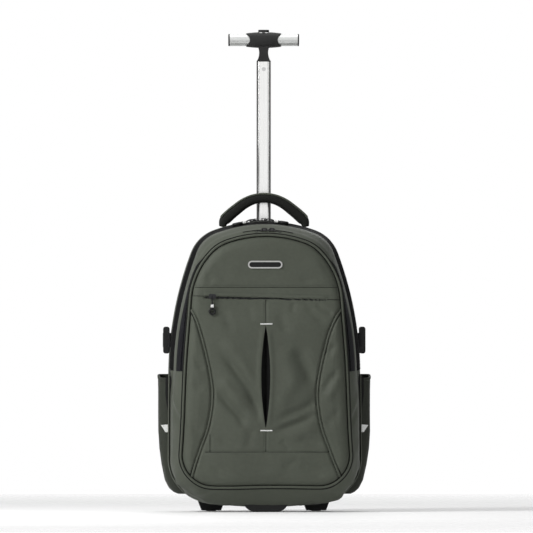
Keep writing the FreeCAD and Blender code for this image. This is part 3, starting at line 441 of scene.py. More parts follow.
class Nodes:
    """A small helper round a material's node tree."""

    def __init__(self, name):
        self.material = bpy.data.materials.new(name)
        self.material.use_nodes = True
        self.tree = self.material.node_tree
        self.shader = self.tree.nodes["Principled BSDF"]

    def add(self, kind, inputs=None, **settings):
        return add_node(self.tree, kind, inputs, **settings)

    def place(self, scale=(1, 1, 1)):
        coords = self.add("TexCoord")
        return self.add("Mapping", {"Vector": coords.outputs["Object"], "Scale": scale}).outputs["Vector"]

    def noise(self, scale, detail=3.0, roughness=0.55, vector=None):
        return self.add("TexNoise", {"Vector": vector or self.place(), "Scale": scale, "Detail": detail,
                                     "Roughness": roughness}).outputs["Fac"]

    def band(self, direction, pitch, vector=None):
        """Even sine bands of that pitch, in metres."""
        return self.add("TexWave", {"Vector": vector or self.place(), "Scale": 0.314 / pitch, "Distortion": 0.0},
                        wave_type="BANDS", bands_direction=direction, wave_profile="SIN").outputs["Fac"]

    def maths(self, operation, a, b):
        return self.add("Math", {0: a, 1: b}, operation=operation).outputs[0]

    def bands(self, operation, pitch):
        """Bands along all three axes, brought together by a sum or a maximum."""
        x, y, z = (self.band(axis, pitch) for axis in "XYZ")
        return self.maths(operation, self.maths(operation, x, y), z)

    def cells(self, scale, edge, inside):
        """Small cells: 0 at their edges, 1 in their middles."""
        node = self.add("TexVoronoi", {"Vector": self.place(), "Scale": scale}, feature="DISTANCE_TO_EDGE")
        return self.spread(node.outputs["Distance"], 0, 1, edge, inside)

    def spread(self, value, low_out, high_out, low_in=0.3, high_in=0.7):
        return self.add("MapRange", {"Value": value, "From Min": low_in, "From Max": high_in, "To Min": low_out,
                                     "To Max": high_out}).outputs["Result"]

    def tint(self, factor, dark, light):
        return self.add("Mix", {0: factor, 6: (*dark, 1), 7: (*light, 1)}, data_type="RGBA").outputs[2]

    def bump(self, height, distance, strength, under=None):
        inputs = {"Height": height, "Distance": distance, "Strength": strength}
        if under is not None:
            inputs["Normal"] = under
        return self.add("Bump", inputs).outputs["Normal"]

    def finish(self, colour=None, roughness=None, normal=None, **constants):
        for key, value in (("Base Color", colour), ("Roughness", roughness), ("Normal", normal)):
            if isinstance(value, bpy.types.NodeSocket):
                self.tree.links.new(value, self.shader.inputs[key])
            elif value is not None:
                self.shader.inputs[key].default_value = (*value, 1) if key == "Base Color" else value
        for key, value in constants.items():
            self.shader.inputs[key.replace("_", " ")].default_value = value
        return self.material


def scaled(colour, k):
    return tuple(c * k for c in colour)


def coated_cloth(name, colour, weave=0.0009, rough=0.56, sheen=0.04):
    """Polyurethane-coated nylon: fine weave, faint cloudy colour and soft crumples."""
    n = Nodes(name)
    cloud = n.noise(9, 2)
    fine = n.noise(160, 3)
    shade = n.maths("ADD", n.maths("MULTIPLY", cloud, 0.6), n.maths("MULTIPLY", fine, 0.4))
    crumple = n.bump(n.noise(45, 4, 0.6), 0.0011, 0.35)
    normal = n.bump(n.bands("ADD", weave), 0.00005, 0.5, crumple)
    return n.finish(n.tint(n.spread(shade, 0, 1), scaled(colour, 0.88), scaled(colour, 1.1)),
                    n.spread(fine, rough - 0.05, rough + 0.07), normal, Sheen_Weight=sheen, Sheen_Roughness=0.4,
                    Specular_IOR_Level=0.14)


def webbing(name, colour, pitch=0.0016, rough=0.68, sheen=0.08):
    """Woven tape: a herringbone of thick threads."""
    n = Nodes(name)
    tilted = n.add("Mapping", {"Vector": n.place(), "Rotation": (0.6, 0.78, 0.6)}).outputs["Vector"]
    twill = n.maths("MULTIPLY", n.band("X", pitch, tilted), n.band("Z", pitch * 0.8))
    colour_out = n.tint(n.spread(twill, 0, 1, 0.0, 0.8), scaled(colour, 0.6), scaled(colour, 1.35))
    return n.finish(colour_out, rough, n.bump(twill, 0.0003, 0.7), Sheen_Weight=sheen, Sheen_Roughness=0.35,
                    Specular_IOR_Level=0.08)


def ribbed(name, colour, pitch=0.0011, rough=0.6):
    """Zip tape: fine ribs across."""
    n = Nodes(name)
    shade = n.spread(n.noise(60, 2), 0, 1)
    return n.finish(n.tint(shade, scaled(colour, 0.8), scaled(colour, 1.2)), rough,
                    n.bump(n.bands("ADD", pitch), 0.00015, 0.6), Sheen_Weight=0.02, Specular_IOR_Level=0.06)


def air_mesh(name, colour):
    """Spacer mesh of back pads: a lattice of small holes."""
    n = Nodes(name)
    holes = n.cells(330.0, 0.02, 0.3)
    return n.finish(n.tint(holes, scaled(colour, 1.6), scaled(colour, 0.35)), 0.75,
                    n.bump(n.maths("SUBTRACT", 1.0, holes), 0.0006, 0.8), Sheen_Weight=0.05,
                    Sheen_Roughness=0.4, Specular_IOR_Level=0.08)


def ripstop(name, colour):
    """Thin lining with a raised square grid."""
    n = Nodes(name)
    lines = n.spread(n.bands("MAXIMUM", 0.006), 0, 1, 0.93, 1.0)
    crumple = n.bump(n.noise(30, 4, 0.6), 0.0012, 0.5)
    return n.finish(n.tint(lines, colour, scaled(colour, 1.4)), 0.6, n.bump(lines, 0.0002, 0.7, crumple),
                    Sheen_Weight=0.2)


def moulded(name, colour, rough=0.45, grain=0.0002):
    """Moulded plastic with a fine spark-eroded grain and slight wear."""
    n = Nodes(name)
    wear = n.spread(n.noise(35, 4), 0, 1, 0.4, 0.75)
    return n.finish(n.tint(wear, scaled(colour, 0.85), scaled(colour, 1.25)),
                    n.spread(wear, rough - 0.06, rough + 0.08, 0, 1), n.bump(n.noise(900, 2), grain, 0.35),
                    Specular_IOR_Level=0.22)


def metal(name, colour, rough, brushed=None):
    """Metal, drawn or brushed along one axis, or plain."""
    n = Nodes(name)
    stretch = {"Z": (900, 900, 6), "X": (6, 900, 900), None: (300, 300, 300)}[brushed]
    lines = n.noise(1.0, 3, 0.6, n.place(stretch))
    smudge = n.noise(14, 3)
    rough_out = n.maths("ADD", n.spread(lines, rough - 0.06, rough + 0.08), n.spread(smudge, -0.03, 0.05))
    return n.finish(n.tint(n.spread(lines, 0, 1), scaled(colour, 0.9), colour), rough_out,
                    n.bump(lines, 0.00002, 0.4), Metallic=1.0)


def tyre_rubber(name, colour):
    n = Nodes(name)
    dust = n.spread(n.noise(50, 5), 0, 1, 0.45, 0.8)
    return n.finish(n.tint(dust, colour, scaled(colour, 2.0)), n.spread(dust, 0.5, 0.75, 0, 1),
                    n.bump(n.noise(400, 3), 0.0002, 0.5))


def reflective(name):
    """Retroreflective tape: pale grey with a fine honeycomb."""
    n = Nodes(name)
    lines = n.cells(520.0, 0.0, 0.15)
    return n.finish(n.tint(lines, (0.62, 0.63, 0.62), (0.9, 0.91, 0.89)), 0.35, n.bump(lines, 0.0001, 0.5),
                    Metallic=0.15)


OLIVE_COLOUR = (0.078, 0.086, 0.068)
OLIVE = coated_cloth("olive_cloth", OLIVE_COLOUR)
OLIVE_DARK = coated_cloth("olive_dark_cloth", scaled(OLIVE_COLOUR, 0.45), rough=0.65)
# Near-black olive as painted shadow: strips under the piping cords and along the seams, where the crevices lie in
# shade.
CREVICE_SHADE = coated_cloth("crevice_shade_cloth", scaled(OLIVE_COLOUR, 0.14), rough=0.75)
BLACK_CLOTH = coated_cloth("black_cloth", (0.010, 0.0104, 0.0098), rough=0.68, sheen=0.02)
# The pleat's own black, deepened well below the black cloth as painted shade inside the opening.
PLEAT_SHADE_CLOTH = coated_cloth("pleat_shade_cloth", (0.0022, 0.0023, 0.0022), rough=0.85, sheen=0.0)
HANDLE_CLOTH = webbing("handle_cloth", (0.0195, 0.0205, 0.0185), 0.0024, 0.6, 0.1)
WEBBING = webbing("black_webbing", (0.016, 0.016, 0.017))
NAVY = ribbed("navy_tape", (0.0095, 0.0098, 0.0118))
BLACK_TAPE = ribbed("black_tape", (0.0062, 0.0063, 0.0064))
MESH = air_mesh("black_air_mesh", (0.018, 0.018, 0.019))
LINING = ripstop("grey_lining", (0.055, 0.056, 0.058))
NYLON = moulded("nylon_coil", (0.016, 0.016, 0.018), 0.35, 0.0001)
NAVY_NYLON = moulded("navy_coil", (0.012, 0.0125, 0.015), 0.4, 0.0001)
THREAD = moulded("olive_thread", scaled(OLIVE_COLOUR, 0.75), 0.6, 0.0001)
SILVER_THREAD = reflective("silver_thread")
PLASTIC = moulded("black_plastic", (0.011, 0.0113, 0.0113), 0.5)
GREY_PLASTIC = moulded("grey_plastic", (0.16, 0.16, 0.16))
GRIP = moulded("soft_grip", (0.02, 0.02, 0.02), 0.5, 0.0003)
ALUMINIUM = metal("satin_aluminium", (0.92, 0.92, 0.91), 0.22, "Z")
BAR = metal("grip_bar_aluminium", (0.66, 0.67, 0.66), 0.36, "X")
STEEL = metal("zinc_steel", (0.60, 0.60, 0.60), 0.35)
BLACK_METAL = metal("black_zinc", (0.045, 0.045, 0.047), 0.32)
SILVER = metal("bright_silver", (0.78, 0.78, 0.77), 0.2)
BADGE_RIM = metal("badge_rim", (0.50, 0.50, 0.49), 0.3)
BADGE = moulded("badge_plate", (0.006, 0.0062, 0.0068), 0.6, 0.0001)
TYRE = tyre_rubber("tyre", (0.018, 0.018, 0.018))
TAB = reflective("reflective_tape")
BOARD = moulded("stiffener_board", (0.06, 0.06, 0.06), 0.55)


def dress(node, material):
    """Gives a CAD node a better material."""
    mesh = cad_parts[node].data
    for n in range(len(mesh.materials)):
        mesh.materials[n] = material
    if not mesh.materials:
        mesh.materials.append(material)


def dress_frame():
    looks = {
        ALUMINIUM: ["inner_tube", "outer_tube"], BAR: ["grip_bar"], GRIP: ["grip_body", "bar_caps", "button"],
        PLASTIC: ["tube_collar", "base_plate", "front_foot", "wheel_housing_left", "wheel_housing_right",
                  "buckle_sockets", "buckle_prong_left", "buckle_prong_right", "strap_adjusters", "lock_block",
                  "front_slider_left", "front_slider_right"],
        GREY_PLASTIC: ["hub_left", "hub_right"], BADGE_RIM: ["badge_frame"], BADGE: ["badge_plate"],
        STEEL: ["push_rod", "lock_pin", "base_screws", "grip_rivet", "bearings_left", "bearings_right"],
        BLACK_METAL: ["axles", "main_slider_left", "main_slider_right", "pocket_slider"],
        TYRE: ["tyre_left", "tyre_right"], BOARD: ["frame_sheet"],
        LINING: ["rear_shell", "upper_divider", "lower_divider", "laptop_sleeve"],
    }
    for material, nodes in looks.items():
        for node in nodes:
            dress(node, material)


# ---------------------------------------------------------------- front panel
SEAM_Z = 393                                   # seam above the pocket
POCKET_ZIP = ((-108, 377), (130, 370.4))       # the pocket zip's line, from end to end
POCKET_SEAM_Z = 105
PLEAT_X = -0.5
PLEAT_Z = (148, 325)                           # lower and upper end of the pleat's opening
PLEAT_WIDTH = 15
TACK_Z = (142.6, 328.6)                        # lower and upper bar tack
PLEAT_SEAM_TOP = 371
WING = [(-132, 356), (-123, 339.5), (-113.5, 311.5), (-102, 266.3), (-95, 228), (-93.3, 205), (-95.5, 176),
        (-102, 144), (-113.5, 112), (-123.5, 83), (-130.5, 57)]
PIPING_R = 2.0

# Soft folds of the cloth: points (x, z) of a line, its width and its height, below zero for a hollow.
FOLDS = [
    ([(-84, 290), (-60, 258), (-34, 222), (-14, 180), (-6, 152)], 11, -7.5),
    ([(-74, 304), (-44, 262), (-18, 214)], 15, 3.4), ([(-88, 216), (-70, 194), (-46, 168), (-34, 144)], 10, -6.5),
    ([(-84, 238), (-58, 208), (-36, 176)], 12, 4.2), ([(50, 292), (70, 252), (86, 214)], 14, -5.5),
    ([(22, 290), (44, 244), (60, 206)], 18, 3.2), ([(14, 158), (42, 171), (72, 184), (94, 206)], 10, -4.5),
    ([(8, 140), (36, 149), (66, 160), (94, 176)], 9, -4.6), ([(12, 146), (40, 160), (70, 172)], 7, 1.6),
    ([(30, 130), (60, 136), (92, 150)], 12, 2.2), ([(16, 184), (40, 214), (48, 250)], 14, 2.0),
    ([(84, 367), (102, 352), (122, 346)], 6, -3.0), ([(70, 366), (84, 346), (106, 326)], 10, -2.6),
    ([(50, 369), (45, 346)], 6, -2.2), ([(22, 350), (38, 310)], 10, -1.8), ([(-30, 368), (-25, 330)], 9, -1.4),
    ([(-78, 360), (-58, 312)], 13, -2.2), ([(132, 298), (116, 286), (104, 270)], 8, -3.2),
    ([(132, 252), (114, 232), (98, 206)], 9, -3.8), ([(134, 236), (116, 214), (102, 190)], 11, 2.6),
    ([(134, 184), (100, 146)], 11, -2.4), ([(-138, 278), (-120, 262), (-108, 242)], 10, -2.6),
    ([(-142, 236), (-106, 212)], 12, -2.2), ([(-146, 162), (-110, 134)], 12, -2.2),
    ([(-116, 424), (-102, 410), (-90, 398)], 10, -3.6), ([(-124, 446), (-96, 414)], 16, 2.0),
    ([(-106, 432), (-58, 402)], 16, -1.6), ([(116, 440), (68, 404)], 20, 2.0), ([(102, 422), (56, 398)], 12, -1.8),
    ([(-46, 472), (42, 440)], 26, 1.4), ([(-72, 96), (-22, 72), (38, 58)], 15, 2.4),
    ([(54, 92), (110, 62)], 12, -2.8), ([(26, 74), (64, 98)], 11, -2.0), ([(-118, 98), (-68, 66)], 12, -2.2),
    ([(-86, 132), (-42, 112)], 9, -2.0), ([(54, 134), (102, 114)], 10, -2.2), ([(-22, 150), (-36, 106)], 9, -1.8),
    ([(24, 128), (44, 106)], 9, -1.6),
]


def distance_to_path(x, z, path):
    """Distance of each point to a polyline, and how far along it the nearest point lies, from 0 to 1."""
    best, share = np.full(x.shape, 1e9), np.zeros(x.shape)
    before = distances(path)
    for n, (a, b) in enumerate(zip(path[:-1], path[1:])):
        d = b - a
        t = np.clip(((x - a[0]) * d[0] + (z - a[1]) * d[1]) / (d @ d), 0, 1)
        r = np.hypot(x - a[0] - t * d[0], z - a[1] - t * d[1])
        closer = r < best
        best = np.where(closer, r, best)
        share = np.where(closer, (before[n] * (1 - t) + before[n + 1] * t) / before[-1], share)
    return best, share


def fold_relief(x, z, folds):
    """Height of the soft folds, in millimetres."""
    total = np.zeros(x.shape)
    for points, width, height in folds:
        r, share = distance_to_path(x, z, smooth_path(points, 12))
        ends = smoothstep(share / 0.3) * smoothstep((1 - share) / 0.3)
        total += height * np.exp(-(r / width) ** 2 * 1.5) * (0.1 + 0.9 * ends)
    return total


def ripple(x, z):
    """Slight unevenness of cloth under tension."""
    return (0.6 * np.sin(x / 23 + 1.3 * np.sin(z / 41)) * np.sin(z / 29 + 0.6)
            + 0.22 * np.sin(x / 9.5 + z / 14) * np.sin(z / 11 - x / 17 + 2))


def zip_line(x):
    (x0, z0), (x1, z1) = POCKET_ZIP
    return z0 + (z1 - z0) * (x - x0) / (x1 - x0)


def pleat_width(z):
    t = np.clip((z - PLEAT_Z[0]) / (PLEAT_Z[1] - PLEAT_Z[0]), 0, 1)
    return PLEAT_WIDTH * np.clip(np.sin(math.pi * t), 0, 1) ** 0.85


def wing_paths():
    left = smooth_path(WING, 90)
    lean = -3.6 * smoothstep((355 - left[:, 1]) / 50) * smoothstep((left[:, 1] - 55) / 40)
    return left, left * [-1, 1] + np.stack([lean, 0 * lean], 1)


PANEL_OUTLINE = settled(ring(LOOK))
ROLL_START, ROLL_WIDTH, ROLL_HEIGHT = 3.2, 16, 10.0          # the panel's rounded edge
POCKET_SWELL, WING_GROOVE = 6.5, 2.6


def panel_height(x, z):
    """How far the panel's face stands in front of PANEL_EDGE_Y, in millimetres."""
    rim, _ = distance_to_path(x, z, np.vstack([PANEL_OUTLINE[::4], PANEL_OUTLINE[:1]]))
    t = np.clip((rim - ROLL_START) / ROLL_WIDTH, 0, 1)
    height = -1.8 + ROLL_HEIGHT * np.sqrt(np.clip(1 - (1 - t) ** 2, 0, 1))
    to_wing = np.minimum(*(distance_to_path(x, z, path)[0] for path in wing_paths()))
    flat = smoothstep((zip_line(x) - 6 - z) / 40)
    to_edge = np.minimum(np.minimum(rim - 4, to_wing), 60) / 60
    low_end = smoothstep((z - 46) / 60)
    height = height + POCKET_SWELL * flat * low_end * np.sqrt(np.clip(to_edge, 0, 1))
    height = height - WING_GROOVE * smoothstep((5.4 - to_wing) / 2.6) * smoothstep((362 - z) / 12)
    inner = smoothstep((rim - 10) / 14)
    height = height + (fold_relief(x, z, FOLDS) + ripple(x, z)) * inner * (0.6 + 0.4 * flat)
    yoke_seam = 0.9 * smoothstep((z - SEAM_Z + 0.5) / 1.5) - 0.5 * hump(z, SEAM_Z - 1, 1.2)
    height = height + (yoke_seam + pocket_seams(x, z)) * inner
    return height + zip_flap(x, z)


def pocket_seams(x, z):
    """Shallow grooves of the pocket's sewn edges."""
    across = smoothstep((x + 108) / 6) * smoothstep((116 - x) / 6)
    relief = -1.4 * hump(z, POCKET_SEAM_Z, 2.2) * across
    relief += 0.5 * smoothstep((POCKET_SEAM_Z - z) / 1.5) * smoothstep((z - 70) / 30) * across
    side = smoothstep((z - POCKET_SEAM_Z) / 2) * smoothstep((134 - z) / 6)
    relief -= 0.6 * hump(x, -95, 1.2) * side
    low_seam = smoothstep((TACK_Z[0] - z) / 3) * smoothstep((z - POCKET_SEAM_Z + 2) / 3)
    high_seam = smoothstep((z - TACK_Z[1]) / 3) * smoothstep((PLEAT_SEAM_TOP - z) / 6)
    return relief - 1.3 * hump(x, PLEAT_X, 2.4) * (low_seam + high_seam)


def zip_flap(x, z):
    """The lip over the pocket's zip, and the gap under it that narrows to the right."""
    (x0, _), (x1, _) = POCKET_ZIP
    line = zip_line(x)
    share = np.clip((x - x0) / (x1 - x0), 0, 1)
    ends = smoothstep((x - x0 + 3) / 8) * smoothstep((x1 - 20 - x) / 10)
    gap = 2.0 - 1.1 * share
    inside = smoothstep((z - line + 2 * gap) / 1.2) * smoothstep((line - z) / 0.9)
    lip = hump(z - line, 3.2, 3.4) * smoothstep((z - line + 0.2) / 0.9)
    tail = smoothstep((x - x1 + 26) / 8) * smoothstep((x1 + 2 - x) / 6)
    seam = -0.9 * hump(z, line, 1.3) * tail
    return ends * (-4.6 * inside + 1.5 * lip) + seam


def patch_columns():
    """Column positions from -1 to 1, with five at the middle for the pleat's walls."""
    side = np.linspace(0, 1, 84)[1:]
    return np.concatenate([-side[::-1], np.zeros(5), side])


PLEAT_WALL = [(-1, 0.0), (-0.72, 4.0), (0, 8.0), (0.72, 4.0), (1, 0.0)]      # share of the half-width, depth


def coons(bottom, right, top, rows, columns):
    """A patch between a bottom, a right and a top curve that is symmetric about x = 0."""
    u = np.asarray(columns)[None, :, None]
    v = np.linspace(0, 1, rows)[:, None, None]
    share = np.abs(np.asarray(columns))
    side = np.sign(np.asarray(columns))[:, None]
    b = along(bottom, share) * np.hstack([side, np.ones_like(side)])
    t = along(top, share) * np.hstack([side, np.ones_like(side)])
    b[share == 0, 0] = 0
    t[share == 0, 0] = 0
    r = along(right, np.linspace(0, 1, rows))
    left = r * [-1, 1]
    h = (u + 1) / 2
    corners = ((1 - h) * (1 - v) * (b[0]) + h * (1 - v) * b[-1] + (1 - h) * v * t[0] + h * v * t[-1])
    return (1 - v) * b[None] + v * t[None] + (1 - h) * left[:, None] + h * r[:, None] - corners


def outline_patch(o, rows, columns):
    half = half_ring(o)
    corner, shoulder = int(BELOW_CORNER * 0.82), FOLD_INDEX + int(ABOVE_FOLD * 0.62)
    return coons(half[:corner + 1], half[corner:shoulder + 1], half[shoulder:][::-1], rows, columns)


def panel_skin():
    """The whole front panel as one sheet, with the pleat's walls sunk into it."""
    columns = patch_columns()
    flat = settled(outline_patch(inset(LOOK, 0.6), 232, columns))
    x, z = flat[..., 0].copy(), flat[..., 1].copy()
    middle = len(columns) // 2
    half_width = pleat_width(z) / 2
    push = hump(x, 0, 22)
    shift = PLEAT_X * hump(x, 0, 60) * smoothstep((z - 70) / 40) * smoothstep((440 - z) / 60)
    sign = np.sign(columns)[None, :]
    x_face = x + sign * half_width * push + shift
    height = panel_height(x_face, z)
    lip = smoothstep(half_width / 3)
    height = height + 1.6 * lip * hump(np.abs(x_face - PLEAT_X), half_width + 3, 5)
    for k, (share, depth) in enumerate(PLEAT_WALL):
        c = middle - 2 + k
        x_face[:, c] = x[:, middle] + shift[:, middle] + share * half_width[:, c] + 0.15 * (k - 2)
        height[:, c] = height[:, middle - 3 if k < 3 else middle + 3] - (depth + 0.4) * lip[:, c]
    points = np.stack([x_face, PANEL_EDGE_Y - height, z], -1)
    obj = grid_object("panel", points, [OLIVE, LINING, PLEAT_SHADE_CLOTH, LINING])
    dark_pleat(obj, len(columns), middle)
    return obj


def dark_pleat(obj, columns, middle):
    """The cloth inside the pleat's opening is black, and its near-black colour, darker than the bag's black cloth, is
    partly painted shade of the opening.
    """
    for polygon in obj.data.polygons:
        cols = [v % columns for v in polygon.vertices]
        if min(cols) >= middle - 2 and max(cols) <= middle + 2:
            z = polygon.center.z / MM
            if PLEAT_Z[0] < z < PLEAT_Z[1]:
                polygon.material_index = 2


def split_at_fold(obj):
    """Cuts a piece at the fold's height into a lower and an upper piece."""
    upper = obj.copy()
    upper.data = obj.data.copy()
    bpy.context.scene.collection.objects.link(upper)
    for piece, clear_above in ((obj, True), (upper, False)):
        with editing(piece.data) as bm:
            bmesh.ops.bisect_plane(bm, geom=bm.verts[:] + bm.edges[:] + bm.faces[:], dist=1e-6,
                                   plane_co=(0, 0, FOLD_Z * MM), plane_no=(0, 0, 1), clear_outer=clear_above,
                                   clear_inner=not clear_above)
    return obj, upper


def to_section(obj):
    """Bakes the piece's placement into its mesh."""
    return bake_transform(obj)


def to_flap(obj):
    """Bakes the piece's placement into its mesh."""
    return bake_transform(obj)


def front_panel():
    lower, upper = split_at_fold(panel_skin())
    lower.name, upper.name = "panel_lower", "panel_upper"
    for piece in (lower, upper):
        thicken(piece, CLOTH, 1)
    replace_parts(to_section(lower), "lower_front_shell")
    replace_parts(to_flap(upper), "front_panel")


def on_panel(path, lift):
    """2D panel points as 3D points that stand lift in front of the panel's face."""
    return in_plane(path, PANEL_EDGE_Y - panel_height(path[:, 0], path[:, 1]) - lift)


def row(x0, x1, n, z):
    """2D panel points from x0 to x1 at height z, a number or a function of x."""
    x = np.linspace(x0, x1, n)
    return np.stack([x, z(x) if callable(z) else np.full(n, z)], 1)


def upright(x, z0, z1):
    return row(z0, z1, 24, x)[:, ::-1]


def piping(name, path, up, rider):
    """A round cord in cloth on its welt, a dark strip whose colour is painted shadow of the crevices beside the cord.
    rider is the function that bakes it in place or ties it to its body.
    """
    cord = sweep(name, path, up, circle(PIPING_R, 12), OLIVE)
    _, _, rise = frames(path, up)
    # The welt's dark colour is painted shadow in the crevices on both sides of the cord.
    welt = sweep(name + "_welt", path - 1.3 * rise, up, flat_section(2 * PIPING_R + 4.2, 2.0, 0.95), CREVICE_SHADE)
    obj = joined(name, [cord, welt])
    rider(obj)


def panel_piping():
    y = PANEL_EDGE_Y - 1.4
    piping("panel_piping_upper", in_plane(settled(upper_ring(LOOK)), y), FORWARD, to_flap)
    piping("panel_piping_lower", in_plane(settled(lower_ring(LOOK)), y), FORWARD, to_section)
    for name, path in zip(("left", "right"), wing_paths()):
        whole = on_panel(path, 1.5)
        fold = int(np.argmax(path[:, 1] <= FOLD_Z))
        piping("wing_piping_upper_" + name, whole[:fold + 1], FORWARD, to_flap)
        piping("wing_piping_lower_" + name, whole[fold:], FORWARD, to_section)


def bar_tacks():
    """Dense silver stitching across the pleat's two ends."""
    verts, faces = bead(2.3, 1.3, 1.2)
    turned = [(y, x, z) for x, y, z in verts]
    for name, height, body in (("upper", TACK_Z[1], "front_flap"), ("lower", TACK_Z[0], "case")):
        path = on_panel(row(PLEAT_X - 9.5, PLEAT_X + 11.5, 30, height), 0.5)
        obj = repeat("bar_tack_" + name, path, FORWARD, 1.05, turned, faces, SILVER_THREAD)
        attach(obj, body)


def panel_stitches():
    """Stitch rows beside the seams."""
    rows = {"seam": (row(-122, 126, 120, SEAM_Z + 3.2), "front_flap"),
            "zip": (row(-106, 120, 110, lambda x: zip_line(x) + 7.5), "front_flap"),
            "pocket_foot": (row(-101, 108, 100, POCKET_SEAM_Z - 3), "case")}
    for name, (path, body) in rows.items():
        obj = repeat("stitches_" + name, on_panel(path, 0.1), FORWARD, 3.2, *bead(2.5, 0.55, 0.5), THREAD)
        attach(obj, body)


def seam_shadow_lines():
    """Painted shadow of the seams' grooves: dark lines where two pieces of cloth meet, as narrow sunken strips."""
    (x0, _), (x1, _) = POCKET_ZIP
    lines = {"yoke": (row(-124, 128, 90, SEAM_Z - 0.8), "front_flap", 0.8),
             "zip_end": (row(x1 - 24, x1, 12, zip_line), "front_flap", 0.9),
             "zip_start": (row(-133, x0, 12, zip_line), "front_flap", 0.9),
             "pocket_foot": (row(-106, 113, 80, POCKET_SEAM_Z), "case", 0.8),
             "pleat_top": (upright(PLEAT_X, TACK_Z[1] + 2, PLEAT_SEAM_TOP), "front_flap", 1.3),
             "pleat_foot": (upright(PLEAT_X, POCKET_SEAM_Z, TACK_Z[0] - 2), "case", 1.2),
             "pocket_side": (upright(-98, POCKET_SEAM_Z, 136), "case", 0.8)}
    for name, (path, body, width) in lines.items():
        # Each dark strip is painted shadow of a seam's groove.
        obj = sweep("seam_" + name, on_panel(path, 0.25), FORWARD, flat_section(width, 0.9), CREVICE_SHADE)
        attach(obj, body)


def to_ride(body):
    return lambda obj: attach(obj, body)


# ---------------------------------------------------------------- pocket zip
BOX_FACES = [(0, 1, 2, 3), (7, 6, 5, 4), (0, 4, 5, 1), (1, 5, 6, 2), (2, 6, 7, 3), (3, 7, 4, 0)]


def tooth(length, reach, tall):
    """One side's zip tooth: x along the zip, y from just past its middle line to its tape, z up."""
    return [(x * length / 2 * s, -0.6 + w * reach, z * tall) for w in (0, 1)
            for x, z, s in ((-1, 0.0, 1), (1, 0.0, 1), (1, 0.9, 0.6), (-1, 0.9, 0.6))]


def teeth_row(name, path, up, pitch, shape, side, material, start):
    """One side's teeth (side is +1 or -1). start is where the row begins, in pitches."""
    turned = [(a, side * b, c) for a, b, c in shape]
    return repeat(name + "_teeth", path, up, pitch, turned, BOX_FACES, material, start)


def pocket_zip():
    (x0, _), (x1, _) = POCKET_ZIP
    path = in_plane(row(x0 + 1, x1 - 20, 60, lambda x: zip_line(x) - 2.0), PANEL_FACE_Y + 2.6)
    width, pitch = 5, 2.2
    halves = []
    for name, side, start in (("pocket_zip_upper", 1, 0), ("pocket_zip_lower", -1, 0.5)):
        section = flat_section(width, 0.7) + [-side * (width / 2 + 0.1), 0]
        tape = sweep(name + "_tape", path, FORWARD, section, BLACK_TAPE)
        teeth = teeth_row(name, path, FORWARD, pitch, tooth(pitch * 0.55, 2.4, 1.5), side, NYLON, start)
        halves.append(joined(name, [tape, teeth]))
        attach(halves[-1], "front_flap")
    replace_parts(halves[0], "pocket_zip")


# ---------------------------------------------------------------- gusset, rear skin and the two zips round the crown
def mixed(a, b, share):
    share = np.broadcast_to(share, len(a))[:, None]
    return a * (1 - share) + b * share


def rim_points(pick):
    """The gusset's rim: nearer the middle above the fold, where the black tapes show beside it."""
    a, b = pick(inset(REAR, 6.5, 1)), pick(inset(REAR, 9.6, 1))
    return mixed(a, b, smoothstep((a[:, 1] - 185) / 50) * smoothstep((515 - a[:, 1]) / 40))


def band_points(pick, share):
    """Points of the slope between the panel's edge, where share is 0, and the rim. share may differ by point."""
    return mixed(in_plane(settled(pick(LOOK)), PANEL_EDGE_Y), in_plane(rim_points(pick), RIM_Y), share)


def outward(points, amount):
    """Moves points away from the bag's middle line, in the XZ plane."""
    d = (points - [0, 0, 240]) * [0.78, 0, 1]
    d /= np.linalg.norm(d, axis=1)[:, None]
    return points + d * np.broadcast_to(amount, len(points))[:, None]


ZIP_SHARE = (FRONT_ZIP_Y - PANEL_EDGE_Y) / (RIM_Y - PANEL_EDGE_Y)


def navy_end(points):
    """Where the navy tape ends on the slope: wide at the sides, narrow over the crown."""
    z = points[:, 1]
    return ZIP_SHARE + 0.04 + (0.78 - ZIP_SHARE - 0.04) * smoothstep((455 - z) / 150)


def over_crown(points):
    """1 over the crown, where the gusset's edge laps over the front zip, and 0 at the sides."""
    return smoothstep((points[:, 1] - 418) / 30)


def gusset_rows(pick, first_share, back):
    """Rows of the gusset's cloth from the slope back to the seam or tape behind it."""
    start = np.broadcast_to(first_share, len(pick(LOOK))) * 1.0
    rows = []
    for t in np.linspace(0, 1, 10):
        share = start + (1 - start) * t
        lap = 1.8 * over_crown(pick(LOOK)) * smoothstep((0.6 - share) / 0.3)
        rows.append(outward(band_points(pick, share), SKIN + 1.6 * np.sin(math.pi * share) + lap))
    rim = in_plane(rim_points(pick), RIM_Y)
    for t in np.linspace(0, 1, 10)[1:]:
        rows.append(outward(mixed(rim, back, t), SKIN + 1.3 * math.sin(math.pi * t)))
    return rows


def gusset_back(pick):
    """The gusset's rear edge."""
    a, b = pick(inset(REAR, 4, 0)), pick(inset(REAR, 8.0, 0))
    share = smoothstep((a[:, 1] - 185) / 50) * (1 - 0.5 * smoothstep((a[:, 1] - 440) / 50))
    return in_plane(mixed(a, b, share), ZIP_Y - TAPE - 1.5)


def gusset_upper():
    crown_share = over_crown(upper_ring(LOOK))
    start = (navy_end(upper_ring(LOOK)) - 0.03) * (1 - crown_share) + 0.07 * crown_share
    back = gusset_back(upper_ring)
    rows = gusset_rows(upper_ring, start, back)
    rows.append(outward(back, -1.5) + [0, 3, 0])
    obj = grid_object("gusset_upper", np.array(rows), [OLIVE, LINING])
    thicken(obj, CLOTH, 1)
    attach(obj, "front_section")
    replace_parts(obj, "front_gusset")


